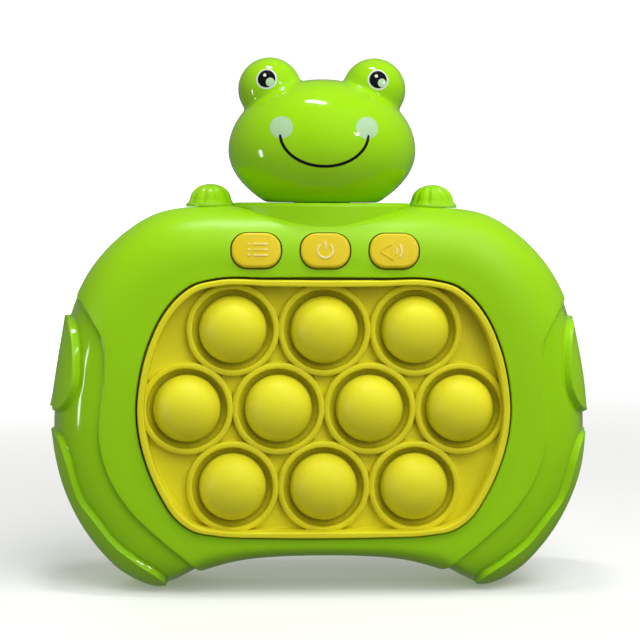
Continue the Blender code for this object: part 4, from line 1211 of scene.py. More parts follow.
def stroke(x, path, thick=0.64, closed=False):
    """A half-round bar along a path of (x, z) points in millimetres from the button's middle."""
    path = np.array(path, float) * MM
    ahead = np.roll(path, -1, axis=0) - path
    if not closed:
        ahead[-1] = ahead[-2]
    ahead /= np.linalg.norm(ahead, axis=1, keepdims=True)
    behind = np.roll(ahead, 1, axis=0)
    if not closed:
        behind[0] = ahead[0]
    way = ahead + behind
    size = 2 / np.linalg.norm(way, axis=1, keepdims=True)
    way = way * size / 2
    if not closed:
        size[[0, -1]] = tip_share
    across = stroke_section * thick / 2 * MM * size
    places = path[:, None, :] + np.stack([way[:, 1:] * across, -way[:, :1] * across], axis=-1)
    rings = along_button(x, places, np.broadcast_to(stroke_backs, places.shape[:2]))
    return put("tool_stroke", [ring_body(rings, loop=closed)])


def straight(start, end, steps=9):
    """A straight path with close points near both ends, so that its tips are short."""
    share = np.concatenate([[0, 0.03], np.linspace(0.1, 0.9, steps), [0.97, 1]])[:, None]
    return np.array(start) + (np.array(end) - np.array(start)) * share


def arc(middle, radius, low, high, steps=49):
    """A path along a circle, from one angle in degrees to another."""
    turn = np.linspace(low * DEG, high * DEG, steps)
    return np.stack([middle[0] + radius * np.cos(turn), middle[1] + radius * np.sin(turn)], axis=1)


menu_paths = []
for z in (1.55, 0.0, -1.55):
    menu_paths += [straight((-2.25, z), (-1.65, z), 3), straight((-0.8, z), (3.1, z))]
power_paths = [arc((-0.05, -0.15), 2.05, 130, 410), straight((-0.05, 0.25), (-0.05, 2.4))]
horn = ((-3.6, 0.25), (-0.55, 1.95), (-0.55, -2.45), (-3.6, -0.65))
volume_paths = [arc((-0.9, -0.2), 1.6, -35, 35, 21), arc((-0.9, -0.2), 2.85, -38, 38, 31)]

signs = {"menu": menu_paths, "power": power_paths, "volume": volume_paths}
buttons = {}
for x, name in zip(button_places, button_names):
    cap = button_cap(name, x)
    strokes = [stroke(x, path) for path in signs[name]]
    if name == "volume":
        strokes.append(stroke(x, horn, 0.56, closed=True))
    buttons[name] = carve(cap, strokes, "UNION")
print("buttons:", {name: len(cap.data.polygons) for name, cap in buttons.items()})

# %% [markdown]
# ## Screws
#
# Six self-tapping screws close the case from behind, and one holds the door. A screw is
# a turned profile whose radius also rises and falls along a helix, which gives the thread
# in the same grid. The cross in its head is cut with two tapered blades.

# %% Screws
thread_pitch = 1.1 * MM
thread_height = 0.3 * MM
thread_fade = 1.6 * MM
screw_head_radius = 3 * MM
blade_halves = ((1.75, 0.32), (0.32, 1.75))
blade_sizes = ((1.05, -0.2), (1.0, 0.0), (0.72, 1.05))


def screw(name, place, top, neck, tip, radius):
    """radius = profile + thread, where the thread is a wave of (depth / pitch - turn)."""
    count = 48
    thick = neck - top
    head = ((0, 0), (screw_head_radius, 0), (screw_head_radius, thick), (radius, thick))
    head = rounded(head, 0.45 * MM, 6)[1:] + (0, top)
    depths = np.linspace(neck, tip, 70)[1:]
    fade = np.clip((tip - depths) / thread_fade, 0, 1) ** 0.7
    core = (radius - thread_height) * np.maximum(fade, 0.1)
    turn = turns_of(count)[None, :]
    phase = (depths[:, None] / thread_pitch - turn / (2 * math.pi)) % 1
    wave = (1 - np.abs(2 * phase - 1)) ** 2
    shank = core[:, None] + thread_height * fade[:, None] * wave
    radii = np.concatenate([np.repeat(head[:, :1], count, axis=1), shank])
    levels = np.concatenate([head[:, 1], depths])[:, None]
    x, z = place
    rings = at(x + radii * np.cos(turn), levels, z + radii * np.sin(turn))
    made = put(name, [ring_body(rings, at(x, top, z), at(x, tip + 0.05 * MM, z))])
    blades = []
    for half_x, half_z in blade_halves:
        line = np.array(((-half_x, -half_z), (half_x, -half_z), (half_x, half_z), (-half_x, half_z)))
        rings = []
        for size, deep in blade_sizes:
            xs, zs = (line * size * MM).T
            rings.append(at(x + xs, top + deep * MM, z + zs))
        blades.append(put("tool_blade", [ring_body(rings)]))
    return carve(made, blades)


case_levels = (-8.5 * MM, -6.3 * MM, 9 * MM)
lid_levels = (-20.9 * MM, -19.3 * MM, -13.1 * MM)
screws = []
for i, place in enumerate(screw_places):
    screws.append(screw(f"case_screw_{i + 1}_turned", place, *case_levels, 1.3 * MM))
lid_screw = screw("battery_lid_screw", door_screw, *lid_levels, 1.4 * MM)
print("screws:", len(screws) + 1, "of", len(lid_screw.data.polygons), "faces")

# %% [markdown]
# ## Cells and contacts
#
# Behind the door three cells lie across the bay, each turned the other way from the one
# above. A cell is a turned shape with a plain sleeve and bright ends. At each end of the
# bay a sprung plate bridges them: a coil where a flat end comes, a pressed dimple where a
# nub comes. A coil is a round wire swept along a narrowing helix.

# %% Cells
cell_pitch = 15.1 * MM
cell_heights = [46.198 * MM + (i - 1) * cell_pitch for i in range(3)]
cell_depth = -11.45 * MM
sleeve_corners = (
    (-25.1, 5.6), (-25.25, 6.6), (-25.1, 7.25), (23.95, 7.25), (23.95, 6.4), (23.75, 5.6),
)
nub_corners = ((23.6, 6.2), (23.78, 6.2), (23.9, 2.75), (25.25, 2.75), (25.25, 1.2))
flat_corners = ((-25.2, 2.0), (-25.2, 6.1), (-24.9, 6.3), (-24.7, 6.3))


def along_x(profile, z, way=1):
    """A profile of (x, radius) turned about a cell's line, which may face either way."""
    xs, radii = np.array(profile, float).T * MM
    turn = turns_of(72)[None, :]
    depths = cell_depth + radii[:, None] * np.cos(turn)
    rings = at(way * xs[:, None], depths, z + radii[:, None] * np.sin(turn))
    return ring_body(rings, at(way * xs[0], cell_depth, z), at(way * xs[-1], cell_depth, z))


sleeves, ends = [], []
for i, z in enumerate(cell_heights):
    way = 1 if i % 2 else -1
    sleeves.append(put(f"cell_{i + 1}_sleeve", [along_x(rounded(sleeve_corners, 0.5, 6), z, way)]))
    ends.append(along_x(rounded(nub_corners, 0.35, 6), z, way))
    ends.append(along_x(rounded(flat_corners, 0.25, 4), z, way))
cell_ends = put("cell_end_caps", ends)

# %% Contact plates and coils
wire_radius = 0.25 * MM
coil_turns = 4.5
coil_run = (27.5 * MM, 25.8 * MM)
coil_radius, coil_narrowing = 3.3 * MM, 1.7 * MM
plate_half_width, plate_corner = 3.6 * MM, 1.0 * MM
plate_heights = (25.048 * MM, 67.348 * MM)
plate_sides = (27.65 * MM, 28.15 * MM)
dimple_corners = ((27.8, 2.6), (27.2, 2.5), (25.6, 1.6), (25.6, 0.5))


def coil(x_from, x_to, z):
    """A wire 0.5 mm thick along a helix whose radius narrows from 3.3 to 1.6 mm."""
    share = np.linspace(0, 1, 200)[:, None]
    turn = share * coil_turns * 2 * math.pi
    section = turns_of(10)[None, :]
    out = coil_radius - coil_narrowing * share + wire_radius * np.cos(section)
    xs = x_from + (x_to - x_from) * share + wire_radius * np.sin(section)
    return ring_body(at(xs, cell_depth + out * np.cos(turn), z + out * np.sin(turn)))


def contact(name, side):
    """One end's plate, with a dimple for each nub and a coil for each flat end."""
    low, high = plate_heights
    line = rounded_rectangle(plate_half_width, (high - low) / 2, plate_corner, 6)
    middle = (low + high) / 2
    plate = [at(side * x, cell_depth + line[:, 0], middle + line[:, 1]) for x in plate_sides]
    shapes = [ring_body(np.array(plate))]
    for i, z in enumerate(cell_heights):
        faces_nub = (i % 2 == 1) == (side > 0)
        if faces_nub:
            shapes.append(along_x(rounded(dimple_corners, 0.8, 6) * (side, 1), z))
        else:
            shapes.append(coil(*(side * x for x in coil_run), z))
    return put(name, shapes)


contacts = [contact("contact_plate_left", -1), contact("contact_plate_right", 1)]
print("cells and contacts:", len(sleeves), len(contacts))

# %% [markdown]
# ## Where a surface bends
#
# Edges are made paler and hollows darker: on an edge partly rubbed wear and partly a painted highlight, in a
# hollow partly dust and partly painted shade. Blender's Pointiness could find them while it renders, but it
# is not stored on the mesh. So each point gets its own number instead: how fast the normals of its
# neighbours turn away from each other. It is near 1 on sharp edges, 0.5 on a flat, and near 0 in a tight
# hollow.

# %% Bend of each point
shortest_edge = 0.05 * MM
bend_limit = 4000
bend_size = 0.8 * MM
smoothings = 2


def point_values(mesh, values, name):
    """Stores one number for each point."""
    store = mesh.attributes.new(name, "FLOAT", "POINT")
    store.data.foreach_set("value", values.astype(np.float32))


def places_of(mesh):
    """The places of a mesh's points as rows of x, y and z."""
    places = np.empty(len(mesh.vertices) * 3, np.float32)
    mesh.vertices.foreach_get("co", places)
    return places.reshape(-1, 3).astype(float)


def mark_bend_and_painted_shade(piece, painted_gap_shade=None):
    """bend = mean over a point's edges of (change of normal . edge) / length^2, smoothed,
    times the bend size. Points in a narrow gap count as hollow, which paints shade into the gap."""
    mesh = piece.data
    places = places_of(mesh)
    count = len(places)
    normals = np.empty(count * 3, np.float32)
    mesh.vertex_normals.foreach_get("vector", normals)
    normals = normals.reshape(-1, 3).astype(float)
    pairs = np.empty(len(mesh.edges) * 2, np.int32)
    mesh.edges.foreach_get("vertices", pairs)
    a, b = pairs.reshape(-1, 2).T
    along = places[b] - places[a]
    length = np.linalg.norm(along, axis=1)
    turned_by = np.einsum("ij,ij->i", normals[b] - normals[a], along)
    turned_by = turned_by / np.maximum(length, shortest_edge) ** 2

    def mean_of(over_edges):
        """The mean of the values on a point's edges, weighed by their length."""
        total = np.bincount(a, over_edges * length, count) + np.bincount(b, over_edges * length, count)
        weight = np.bincount(a, length, count) + np.bincount(b, length, count)
        return total / np.maximum(weight, 1e-9)

    value = np.clip(mean_of(turned_by), -bend_limit, bend_limit)
    for _ in range(smoothings):
        value = value / 2 + mean_of((value[a] + value[b]) / 2) / 2
    value = 0.5 + 0.5 * np.clip(value * bend_size, -1, 1)
    # Painted shade: points in a narrow gap get a lower number, as if they were in a hollow.
    if painted_gap_shade is not None:
        value = value * (1 - painted_gap_shade(places))
    point_values(mesh, value, "bend")


# %% [markdown]
# ## Shared shading
#
# All the plastics share their faults: the colour drifts a little across a moulding, the gloss is uneven
# where hands rub it and the mould's fine grain shows. Edges are paler, partly rubbed and partly a painted
# highlight, and hollows darker, partly dust and partly painted shade. One node group works out the colour,
# roughness and height of all that, and each finish hands it its own numbers. The shader itself stays in each
# material, with its plain numbers set on its own sockets.

# %% Node helpers
def new_group(name, inputs, outputs):
    """A shader group with float inputs (or a colour where the start value is a triple)."""
    tree = bpy.data.node_groups.new(name, "ShaderNodeTree")
    for label, value in inputs:
        kind = "NodeSocketColor" if isinstance(value, tuple) else "NodeSocketFloat"
        socket = tree.interface.new_socket(label, in_out="INPUT", socket_type=kind)
        socket.default_value = (*value, 1.0) if isinstance(value, tuple) else value
    for label, kind in outputs:
        tree.interface.new_socket(label, in_out="OUTPUT", socket_type=kind)
    return tree, tree.nodes.new("NodeGroupInput"), tree.nodes.new("NodeGroupOutput")


def add_node(tree, kind, place, **sockets):
    """A node with its input sockets set or linked, by name (spaces as underscores) or by
    place (i0, i1 and so on)."""
    made = tree.nodes.new(kind)
    made.location = place
    for name, value in sockets.items():
        by_place = name.startswith("i")
        socket = made.inputs[int(name[1:]) if by_place else name.replace("_", " ")]
        if isinstance(value, bpy.types.NodeSocket):
            tree.links.new(value, socket)
        elif isinstance(value, tuple) and socket.type == "RGBA":
            socket.default_value = (*value, 1.0)
        else:
            socket.default_value = value
    return made


def math_of(tree, place, operation, a, b=0.0, c=0.0):
    """The output of one sum, product or the like."""
    made = add_node(tree, "ShaderNodeMath", place, i0=a, i1=b, i2=c)
    made.operation = operation
    return made.outputs[0]


def range_of(tree, place, value, low, high, to_low=0.0, to_high=1.0):
    """A soft step of a value from one range to another."""
    made = add_node(tree, "ShaderNodeMapRange", place, i0=value, i1=low, i2=high, i3=to_low, i4=to_high)
    made.interpolation_type = "SMOOTHSTEP"
    return made.outputs[0]


def blend_colors(tree, place, kind, share, first, second):
    """Two colours blended by a share."""
    made = tree.nodes.new("ShaderNodeMix")
    made.location = place
    made.data_type = "RGBA"
    made.blend_type = kind
    for socket, value in ((made.inputs[0], share), (made.inputs[6], first), (made.inputs[7], second)):
        if isinstance(value, bpy.types.NodeSocket):
            tree.links.new(value, socket)
        else:
            socket.default_value = (*value, 1.0) if isinstance(value, tuple) else value
    return made.outputs[2]


# %% Moulded surface: colour, roughness and height
# The edge input pales edges, partly wear and partly a painted highlight; the dust input darkens hollows and
# gaps, partly dust and partly painted shade.
marks_inputs = (
    ("Color", (0.5, 0.5, 0.5)), ("Drift", 0.06), ("Grain per metre", 2400.0), ("Grain height", 1.0),
    ("Wave height", 0.0), ("Roughness", 0.4), ("Rub", 0.08), ("Edge wear and painted highlight", 0.2), ("Dust", 0.35),
)
marks_outputs = (
    ("Color", "NodeSocketColor"), ("Roughness", "NodeSocketFloat"), ("Height", "NodeSocketFloat"),
)
cloud_scale, rub_scale, wave_scale = 38.0, 140.0, 170.0
edge_range, hollow_range = (0.62, 0.98), (0.4, 0.08)
edge_wear_and_highlight_tint, dust_and_shade_tint = (0.5, 0.5, 0.4), (0.42, 0.4, 0.36)
hue_drift, value_drift = 0.12, 3.0
dust_roughness = 0.25
marks, given, result = new_group("moulded_marks", marks_inputs, marks_outputs)
given.location, result.location = (-1200, 0), (900, 0)
coords = add_node(marks, "ShaderNodeTexCoord", (-1200, -400)).outputs["Object"]
clouds = add_node(marks, "ShaderNodeTexNoise", (-950, 300), Vector=coords, Scale=cloud_scale, Detail=3.0)
rubs = add_node(marks, "ShaderNodeTexNoise", (-950, 50), Vector=coords, Scale=rub_scale, Detail=5.0)
rubs.inputs["Roughness"].default_value = 0.65
grain = add_node(marks, "ShaderNodeTexNoise", (-950, -250), Vector=coords, Detail=2.0, Roughness=0.6)
marks.links.new(given.outputs["Grain per metre"], grain.inputs["Scale"])
waves = add_node(marks, "ShaderNodeTexNoise", (-950, -500), Vector=coords, Scale=wave_scale, Detail=1.0)
bend = add_node(marks, "ShaderNodeAttribute", (-950, -750))
bend.attribute_name = "bend"
# Paler edges: partly rubbed wear, partly a painted highlight where edges catch the light.
edge = range_of(marks, (-700, -650), bend.outputs["Fac"], *edge_range)
# Darker hollows and gaps: partly dust, partly painted shade.
hollow = range_of(marks, (-700, -900), bend.outputs["Fac"], *hollow_range)
drift = math_of(marks, (-700, 300), "SUBTRACT", clouds.outputs[0], 0.5)
drift = math_of(marks, (-500, 300), "MULTIPLY", drift, given.outputs["Drift"])
tint = add_node(marks, "ShaderNodeHueSaturation", (-100, 350), Color=given.outputs["Color"])
marks.links.new(math_of(marks, (-300, 450), "MULTIPLY_ADD", drift, hue_drift, 0.5), tint.inputs["Hue"])
marks.links.new(math_of(marks, (-300, 250), "MULTIPLY_ADD", drift, value_drift, 1.0), tint.inputs["Value"])
pale = math_of(marks, (-300, 0), "MULTIPLY", edge, given.outputs["Edge wear and painted highlight"])
dark = math_of(marks, (-300, -200), "MULTIPLY", hollow, given.outputs["Dust"])
worn_and_highlit_color = blend_colors(marks, (150, 300), "SCREEN", pale, tint.outputs[0], edge_wear_and_highlight_tint)
dusty_and_shaded_color = blend_colors(marks, (350, 300), "MULTIPLY", dark, worn_and_highlit_color, dust_and_shade_tint)
rub = math_of(marks, (-300, -400), "SUBTRACT", rubs.outputs[0], 0.5)
rub = math_of(marks, (-100, -400), "MULTIPLY_ADD", rub, given.outputs["Rub"], given.outputs["Roughness"])
rub = math_of(marks, (100, -400), "MULTIPLY_ADD", dark, dust_roughness, rub)
height = math_of(marks, (100, -600), "MULTIPLY", grain.outputs[0], given.outputs["Grain height"])
height = math_of(marks, (300, -600), "MULTIPLY_ADD", waves.outputs[0], given.outputs["Wave height"], height)
for label, socket in (("Color", dusty_and_shaded_color), ("Roughness", rub), ("Height", height)):
    marks.links.new(socket, result.inputs[label])
print("shared group:", marks.name, "with", len(marks.nodes), "nodes")

# %% A finish from the shared group
relief_height = 0.02 * MM


def finish(name, marks_values, shader_values):
    """A material: the shared marks feed the shader's colour, roughness and normal."""
    made = bpy.data.materials.new(name)
    made.use_nodes = True
    tree = made.node_tree
    shader = tree.nodes["Principled BSDF"]
    shared = tree.nodes.new("ShaderNodeGroup")
    shared.node_tree = marks
    shared.location = (-600, 200)
    for label, value in marks_values.items():
        shared.inputs[label].default_value = (*value, 1.0) if isinstance(value, tuple) else value
    tree.links.new(shared.outputs["Color"], shader.inputs["Base Color"])
    tree.links.new(shared.outputs["Roughness"], shader.inputs["Roughness"])
    relief = add_node(tree, "ShaderNodeBump", (-250, -200), Strength=1.0, Distance=relief_height)
    tree.links.new(shared.outputs["Height"], relief.inputs["Height"])
    tree.links.new(relief.outputs[0], shader.inputs["Normal"])
    for label, value in shader_values.items():
        shader.inputs[label].default_value = value
    return made


# %% [markdown]
# ## Green shells: satin in the middle, polished at the sides
#
# The mould of the shells is spark-textured on the centre plate, the grips and the back,
# and polished on the side zones between them. Two materials would meet in a jagged line
# of faces, so the shells carry one more number for each point, 1 on the side zones and 0
# elsewhere, and the material mixes both the roughness and the grain by it. The head and
# the knobs are fully polished, with a faint waviness that bends their reflections.

# %% Greens
satin = {
    "Color": (0.33, 0.69, 0.002), "Drift": 0.05, "Grain height": 1.0, "Roughness": 0.36, "Rub": 0.1,
    "Edge wear and painted highlight": 0.22,
}
gloss = satin | {
    "Grain height": 0.04, "Wave height": 1.1, "Roughness": 0.1, "Rub": 0.06, "Edge wear and painted highlight": 0.12,
    "Dust": 0.45,
}
soft_light = {
    "Subsurface Weight": 0.06, "Subsurface Scale": 1.5 * MM, "Subsurface Radius": (0.6, 1.0, 0.1),
}
shell_green = finish("shell_green", satin, soft_light)
polished_green = finish("polished_green", gloss, soft_light | {"Coat Weight": 0.25, "Coat Roughness": 0.04})


def mix_by_polish(material):
    """Blends roughness and grain from the satin numbers to the polished ones."""
    tree = material.node_tree
    shared = next(n for n in tree.nodes if n.type == "GROUP")
    polish = tree.nodes.new("ShaderNodeAttribute")
    polish.attribute_name = "polish"
    polish.location = (-1100, 0)
    for label in ("Roughness", "Grain height", "Wave height"):
        plain = shared.inputs[label].default_value
        value = range_of(tree, (-850, 0), polish.outputs["Fac"], 0.0, 1.0, plain, gloss[label])
        tree.links.new(value, shared.inputs[label])


mix_by_polish(shell_green)
plate_fade, grip_fade = 0.5 * MM, 0.6 * MM
polish_depth, back_fade = -9 * MM, 5 * MM


def mark_polish(piece):
    """1 beyond the centre plate's line, and 0 on the plate, on the grips and on the back."""
    places = places_of(piece.data)
    x, z = places[:, 0], places[:, 2] - pad_height
    out, turn = np.hypot(x, z), np.arctan2(x, z) % (2 * math.pi)
    polish = step(out - line_reach(plate_line_shares, turn), plate_fade)
    polish = polish * step(seam_y - polish_depth - places[:, 1], back_fade)
    for shares, _ in grip_rises:
        polish = polish * (1 - step(out - line_reach(shares, turn), grip_fade))
    point_values(piece.data, polish, "polish")


mark_polish(front)
mark_polish(rear)
print("greens:", shell_green.name, polished_green.name)

# %% [markdown]
# ## Silicone, buttons and ink
#
# The pad and its bubbles are silicone, which lets a little light in, so they get some subsurface scattering
# and a soft surface that is darker in its hollows, partly dust and partly painted shade. The buttons are
# harder and shinier, with edges made paler, partly wear and partly a painted highlight. The inks are thin
# and smooth.

# %% Yellows and inks
silicone_light = {
    "Subsurface Weight": 0.18, "Subsurface Scale": 2.2 * MM, "Subsurface Radius": (1.0, 0.85, 0.12),
}
# The high dust number paints shade into the pad's grooves and pockets and at the bubbles' feet, besides
# dust. The pad's edge number paints a highlight on its rim and ridges, besides wear.
silicone = {"Drift": 0.07, "Grain height": 0.7, "Grain per metre": 1800.0, "Dust": 0.9}
pad_values = silicone | {
    "Color": (0.80, 0.74, 0.018), "Roughness": 0.48, "Rub": 0.14, "Edge wear and painted highlight": 0.75,
}
pad_yellow = finish("silicone_pad", pad_values, silicone_light)
bubble_values = silicone | {"Color": (0.84, 0.79, 0.025), "Roughness": 0.47, "Rub": 0.12}
bubble_yellow = finish("silicone_bubble", bubble_values, silicone_light | {"Subsurface Weight": 0.25})
# The buttons' edge number paints a highlight on their rounded edges, besides wear.
button_values = {
    "Color": (0.79, 0.60, 0.014), "Drift": 0.04, "Grain height": 0.5, "Roughness": 0.28,
    "Edge wear and painted highlight": 0.8, "Dust": 0.0,
}
button_yellow = finish("button_yellow_shine", button_values, silicone_light | {"Subsurface Weight": 0.08})
ink_values = {"Drift": 0.03, "Grain height": 0.08, "Roughness": 0.16, "Edge wear and painted highlight": 0.0, "Dust": 0.0}
black_values = ink_values | {"Color": (0.004, 0.004, 0.005), "Roughness": 0.3}
ink_black = finish("ink_black", black_values, {"Specular IOR Level": 0.3})
ink_white = finish("ink_white", ink_values | {"Color": (0.66, 0.76, 0.64)}, {"Coat Weight": 0.3})
ink_mint = finish("ink_mint", ink_values | {"Color": (0.44, 0.66, 0.38)}, {"Coat Weight": 0.3})
print("yellows and inks:", pad_yellow.name, bubble_yellow.name, button_yellow.name)

# %% [markdown]
# ## Metal and the hidden pieces
#
# The screws are turned steel, and the sleeves of the cells are a shrunk film. The keys, plate, board,
# switches and speaker keep their solid shapes from the frame, because the case hides them, but they get
# finishes of their own kind.

# %% Metal, film and electronics
# On the steel too, the edge and dust numbers paint a highlight on edges and shade in the thread and cross,
# besides wear and dust.
steel_values = {
    "Color": (0.58, 0.58, 0.6), "Drift": 0.05, "Grain per metre": 5200.0, "Grain height": 0.6,
    "Roughness": 0.26, "Rub": 0.2, "Edge wear and painted highlight": 0.3, "Dust": 0.7,
}
turned_steel = finish("turned_steel", steel_values, {"Metallic": 1.0})
film_values = {
    "Color": (0.035, 0.045, 0.06), "Drift": 0.05, "Grain height": 0.1, "Wave height": 3.0,
    "Roughness": 0.22,
}
sleeve_film = finish("sleeve_film", film_values, {"Coat Weight": 0.6, "Coat Roughness": 0.08})
plain_edges = {"Edge wear and painted highlight": 0.0, "Dust": 0.0}
hidden = {
    "light_key": {"Color": (0.8, 0.82, 0.8), "Roughness": 0.3, "Grain height": 0.2},
    "guide_plate": {"Color": (0.014, 0.014, 0.015), "Roughness": 0.45, "Rub": 0.2},
    "main_board": {
        "Color": (0.012, 0.12, 0.045), "Roughness": 0.3, "Grain per metre": 900.0, "Wave height": 2.0,
    },
    "switch": {"Color": (0.01, 0.01, 0.011), "Roughness": 0.35, "Rub": 0.15},
    "speaker": {
        "Color": (0.02, 0.02, 0.022), "Roughness": 0.6, "Grain per metre": 1300.0, "Grain height": 3.0,
    },
}
hidden_shaders = {
    "light_key": {"Subsurface Weight": 0.4, "Subsurface Scale": 3 * MM},
    "main_board": {"Coat Weight": 0.4},
}
for kind, values in hidden.items():
    material = finish(kind + "_finish", plain_edges | values, hidden_shaders.get(kind, {}))
    found = [node for name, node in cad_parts.items() if kind in name]
    for node in found:
        for slot in node.material_slots:
            slot.material = material
    print(kind, len(found), "nodes")

# %% [markdown]
# ## Putting it together
#
# Every new surface now gets its finish, its number for the bends, the body it rides on, and the solid that
# it stands for. A gap between two pieces lies in shade too, though neither surface bends there, so soft
# steps of the distance lower the number in three places and paint shade there: beside the pad's rim, in the
# round grooves, and at the foot of each bubble.

# %% Dressing
rim_gap = (-0.3 * MM, 1.2 * MM)
mouth_fade = 0.4 * MM
groove_edges = (10.1 * MM, 11.25 * MM)
groove_top, groove_fade = 17.4 * MM, 2.4 * MM
groove_shade_amounts = (0.3, 0.45)
foot_depth, foot_fade = 15.5 * MM, 1.2 * MM


def clothe(piece, material, body, slot, *nodes, painted_gap_shade=None):
    """The last step for each piece."""
    piece.data.materials.clear()
    piece.data.materials.append(material)
    mark_bend_and_painted_shade(piece, painted_gap_shade)
    dress(piece, body, slot, *nodes)


def painted_shade_beside_rim(places):
    """Painted shade: 1 deep in the gap between the pad's rim and the front shell, 0 at its mouth."""
    x, z = places[:, 0], places[:, 2] - pad_height
    off = np.hypot(x, z) - reach(pad_outline, np.arctan2(x, z) % (2 * math.pi))
    depth = seam_y - places[:, 1]
    near, far = rim_gap
    between = step(off - near, 0.2 * MM) * step(far - off, 0.4 * MM)
    return between * step(face_depth - mouth_fade - depth, 2 * mouth_fade)


def painted_shade_in_hollows(places):
    """Painted shade: the same on the pad, and up to 0.75 in the round grooves at the bubbles' feet."""
    x, z = places[:, 0], places[:, 2]
    near = np.min([np.hypot(x - u, z - v) for u, v in bubble_places], axis=0)
    inner, outer = groove_edges
    less, more = groove_shade_amounts
    groove = step(outer - near, 0.4 * MM) * step(groove_top - (seam_y - places[:, 1]), groove_fade)
    return np.maximum(painted_shade_beside_rim(places), groove * (less + more * step(inner - near, 0.8 * MM)))


def painted_shade_at_foot(places):
    """Painted shade: 1 at the foot of a bubble, and 0 from 1.6 mm above it."""
    return step(foot_depth - (seam_y - places[:, 1]), foot_fade)


clothe(front, shell_green, "body", "body_green", "front_shell", painted_gap_shade=painted_shade_beside_rim)
clothe(rear, shell_green, "body", "body_green", "rear_shell")
clothe(door, shell_green, "battery_door", "body_green", "battery_door")
clothe(head_front, polished_green, "body", "gloss_green", "head_front_shell")
clothe(head_rear, polished_green, "body", "gloss_green", "head_rear_shell")
for side, knob in zip(("left", "right"), knobs):
    clothe(knob, polished_green, "body", "gloss_green", side + "_shoulder_knob")
clothe(pad, pad_yellow, "body", "pad_yellow", "bubble_pad", painted_gap_shade=painted_shade_in_hollows)
for i, dome in enumerate(domes):
    body, node = f"bubble_{i + 1:02d}", f"bubble_dome_{i + 1:02d}"
    clothe(dome, bubble_yellow, body, "bubble_yellow", node, painted_gap_shade=painted_shade_at_foot)
for name, cap in buttons.items():
    clothe(cap, button_yellow, name + "_press", "button_yellow", name + "_button")
for i, made in enumerate(screws):
    clothe(made, turned_steel, "body", "steel", f"case_screw_{i + 1}")
clothe(lid_screw, turned_steel, "battery_door", "steel", "battery_door_screw")
for i, sleeve in enumerate(sleeves):
    clothe(sleeve, sleeve_film, "body", "cell_wrap", f"battery_cell_{i + 1}")
clothe(cell_ends, turned_steel, "body", "steel")
for side, plate in zip(("left", "right"), contacts):
    clothe(plate, turned_steel, "body", "steel", "battery_contact_" + side)
clothe(put("face_black", pupils + [smile]), ink_black, "body", "switch_black")
clothe(put("face_white", rings_of_white + glints), ink_white, "body", "key_white")
clothe(put("face_mint", pale_spots + cheeks), ink_mint, "body", "key_white")

# %% [markdown]
# ## Floor, light and camera
#
# The toy stands on a pale sweep that rises all round, so that no horizon shows from any
# side. It is one turned shell, and its paper glows more and more with the distance, so
# that the background stays white. Five broad soft lights stand above, in front, behind
# and on both sides, as in a light tent. They don't show in the gloss. Three small panels
# do, and give the head its lively glints.

# %% Sweep
flat_radius, bend_radius, wall_top = 0.7, 0.5, 1.1
glow_start, glow_end = 0.15, 0.9
sweep_thick = 0.01
sweep_pole = 0.02
sweep_drop = 0.05 * MM


def sweep():
    """A disc, flat out to 0.7 m, that turns up through a quarter circle of 0.5 m and ends
    in a wall 1.1 m high. It is 10 mm thick."""
    turn = np.linspace(0, math.pi / 2, 24)
    bend_radii = flat_radius + bend_radius * np.sin(turn)
    radii = np.concatenate([[sweep_pole, 0.3, 0.6], bend_radii, [flat_radius + bend_radius]])
    heights = np.concatenate([[0, 0, 0], bend_radius * (1 - np.cos(turn)), [wall_top]])
    profile = np.stack([radii, heights - sweep_drop], axis=1)
    back = profile[::-1] + (sweep_thick, -sweep_thick)
    back[-1] = (sweep_pole, -sweep_thick)
    return upright((0, 0), np.concatenate([profile, back]), 96)


paper_values = plain_edges | {
    "Color": (0.86, 0.86, 0.85), "Drift": 0.01, "Grain per metre": 700.0, "Roughness": 0.7,
}
paper = finish("pale_paper", paper_values, {"Emission Strength": 0.8})
places = add_node(paper.node_tree, "ShaderNodeTexCoord", (-900, -500)).outputs["Object"]
far = paper.node_tree.nodes.new("ShaderNodeVectorMath")
far.operation = "LENGTH"
paper.node_tree.links.new(places, far.inputs[0])
glow = range_of(paper.node_tree, (-500, -500), far.outputs["Value"], glow_start, glow_end, 0.2, 1.0)
paper.node_tree.links.new(glow, paper.node_tree.nodes["Principled BSDF"].inputs["Emission Color"])
floor = put("pale_sweep", [sweep()], paper)
floor.visible_diffuse = False
floor.visible_glossy = False
print("floor:", len(floor.data.polygons), "faces")


# %% Lights
def panel(name, place, aim, size, watts):
    """A rectangular soft light that looks at a point."""
    data = bpy.data.lights.new(name, "AREA")
    data.shape = "RECTANGLE"
    data.size, data.size_y = size
    data.energy = watts
    lamp = bpy.data.objects.new(name, data)
    bpy.context.scene.collection.objects.link(lamp)
    lamp.location = place
    lamp.rotation_euler = (Vector(aim) - Vector(place)).to_track_quat("-Z", "Y").to_euler()
    return lamp


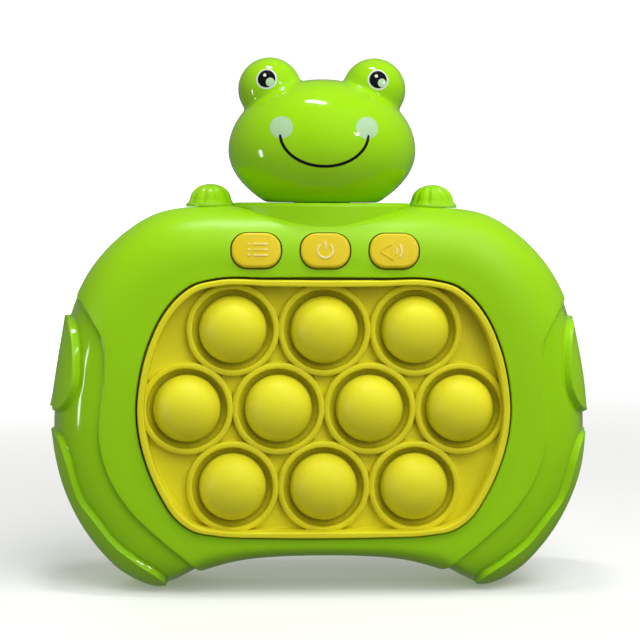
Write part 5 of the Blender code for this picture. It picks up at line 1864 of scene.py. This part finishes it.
middle = (0, 0, 0.075)
for name, place, size, watts in (
    ("tent_top", (0.2, -0.3, 0.6), (0.6, 0.4), 3.0),
    ("front_soft", (0.3, -0.85, 0.42), (0.6, 0.5), 2.7),
    ("back_soft", (-0.35, 0.9, 0.35), (0.6, 0.5), 3.6),
    ("left_soft", (-0.9, -0.15, 0.2), (0.4, 0.4), 0.75),
    ("right_soft", (0.9, -0.1, 0.2), (0.4, 0.4), 0.3),
):
    panel(name, place, middle, size, watts).visible_glossy = False
panel("glint_strip", (-0.03, -0.05, 0.62), middle, (0.13, 0.03), 0.7)
panel("glint_right", (0.32, -0.44, 0.375), middle, (0.03, 0.045), 0.12)
panel("glint_left", (-0.47, -0.18, 0.05), middle, (0.035, 0.12), 0.25)
world = bpy.data.worlds.new("pale_room")
world.use_nodes = True
world.node_tree.nodes["Background"].inputs["Color"].default_value = (1, 1, 1, 1)
world.node_tree.nodes["Background"].inputs["Strength"].default_value = 0.18
bpy.context.scene.world = world


# %% Camera
def stand_camera(azimuth, elevation, roll, target, distance, lens):
    """A camera that looks at the target from an azimuth and an elevation."""
    cosine = math.cos(elevation)
    back = np.array((math.sin(azimuth) * cosine, -math.cos(azimuth) * cosine, math.sin(elevation)))
    place = target + back * distance
    side = np.cross(-back, (0, 0, 1.0))
    side /= np.linalg.norm(side)
    top = np.cross(side, -back)
    right = side * math.cos(roll) + top * math.sin(roll)
    up = top * math.cos(roll) - side * math.sin(roll)
    data = bpy.data.cameras.new("photo_view")
    data.lens = lens
    data.sensor_width = 36.0
    camera = bpy.data.objects.new("photo_view", data)
    bpy.context.scene.collection.objects.link(camera)
    columns = np.stack([right, up, back, place], axis=1)
    camera.matrix_world = Matrix([*columns.tolist(), (0, 0, 0, 1)])
    bpy.context.scene.camera = camera


stand_camera(
    azimuth=-3 * DEG, elevation=4 * DEG, roll=0.3 * DEG,
    target=np.array((-0.4, 0, 75.6)) * MM, distance=0.5, lens=98.5,
)
bpy.context.scene.view_settings.view_transform = "Standard"
print("camera set")

# %% [markdown]
# ## The end

# %% The end
print("boxes written")
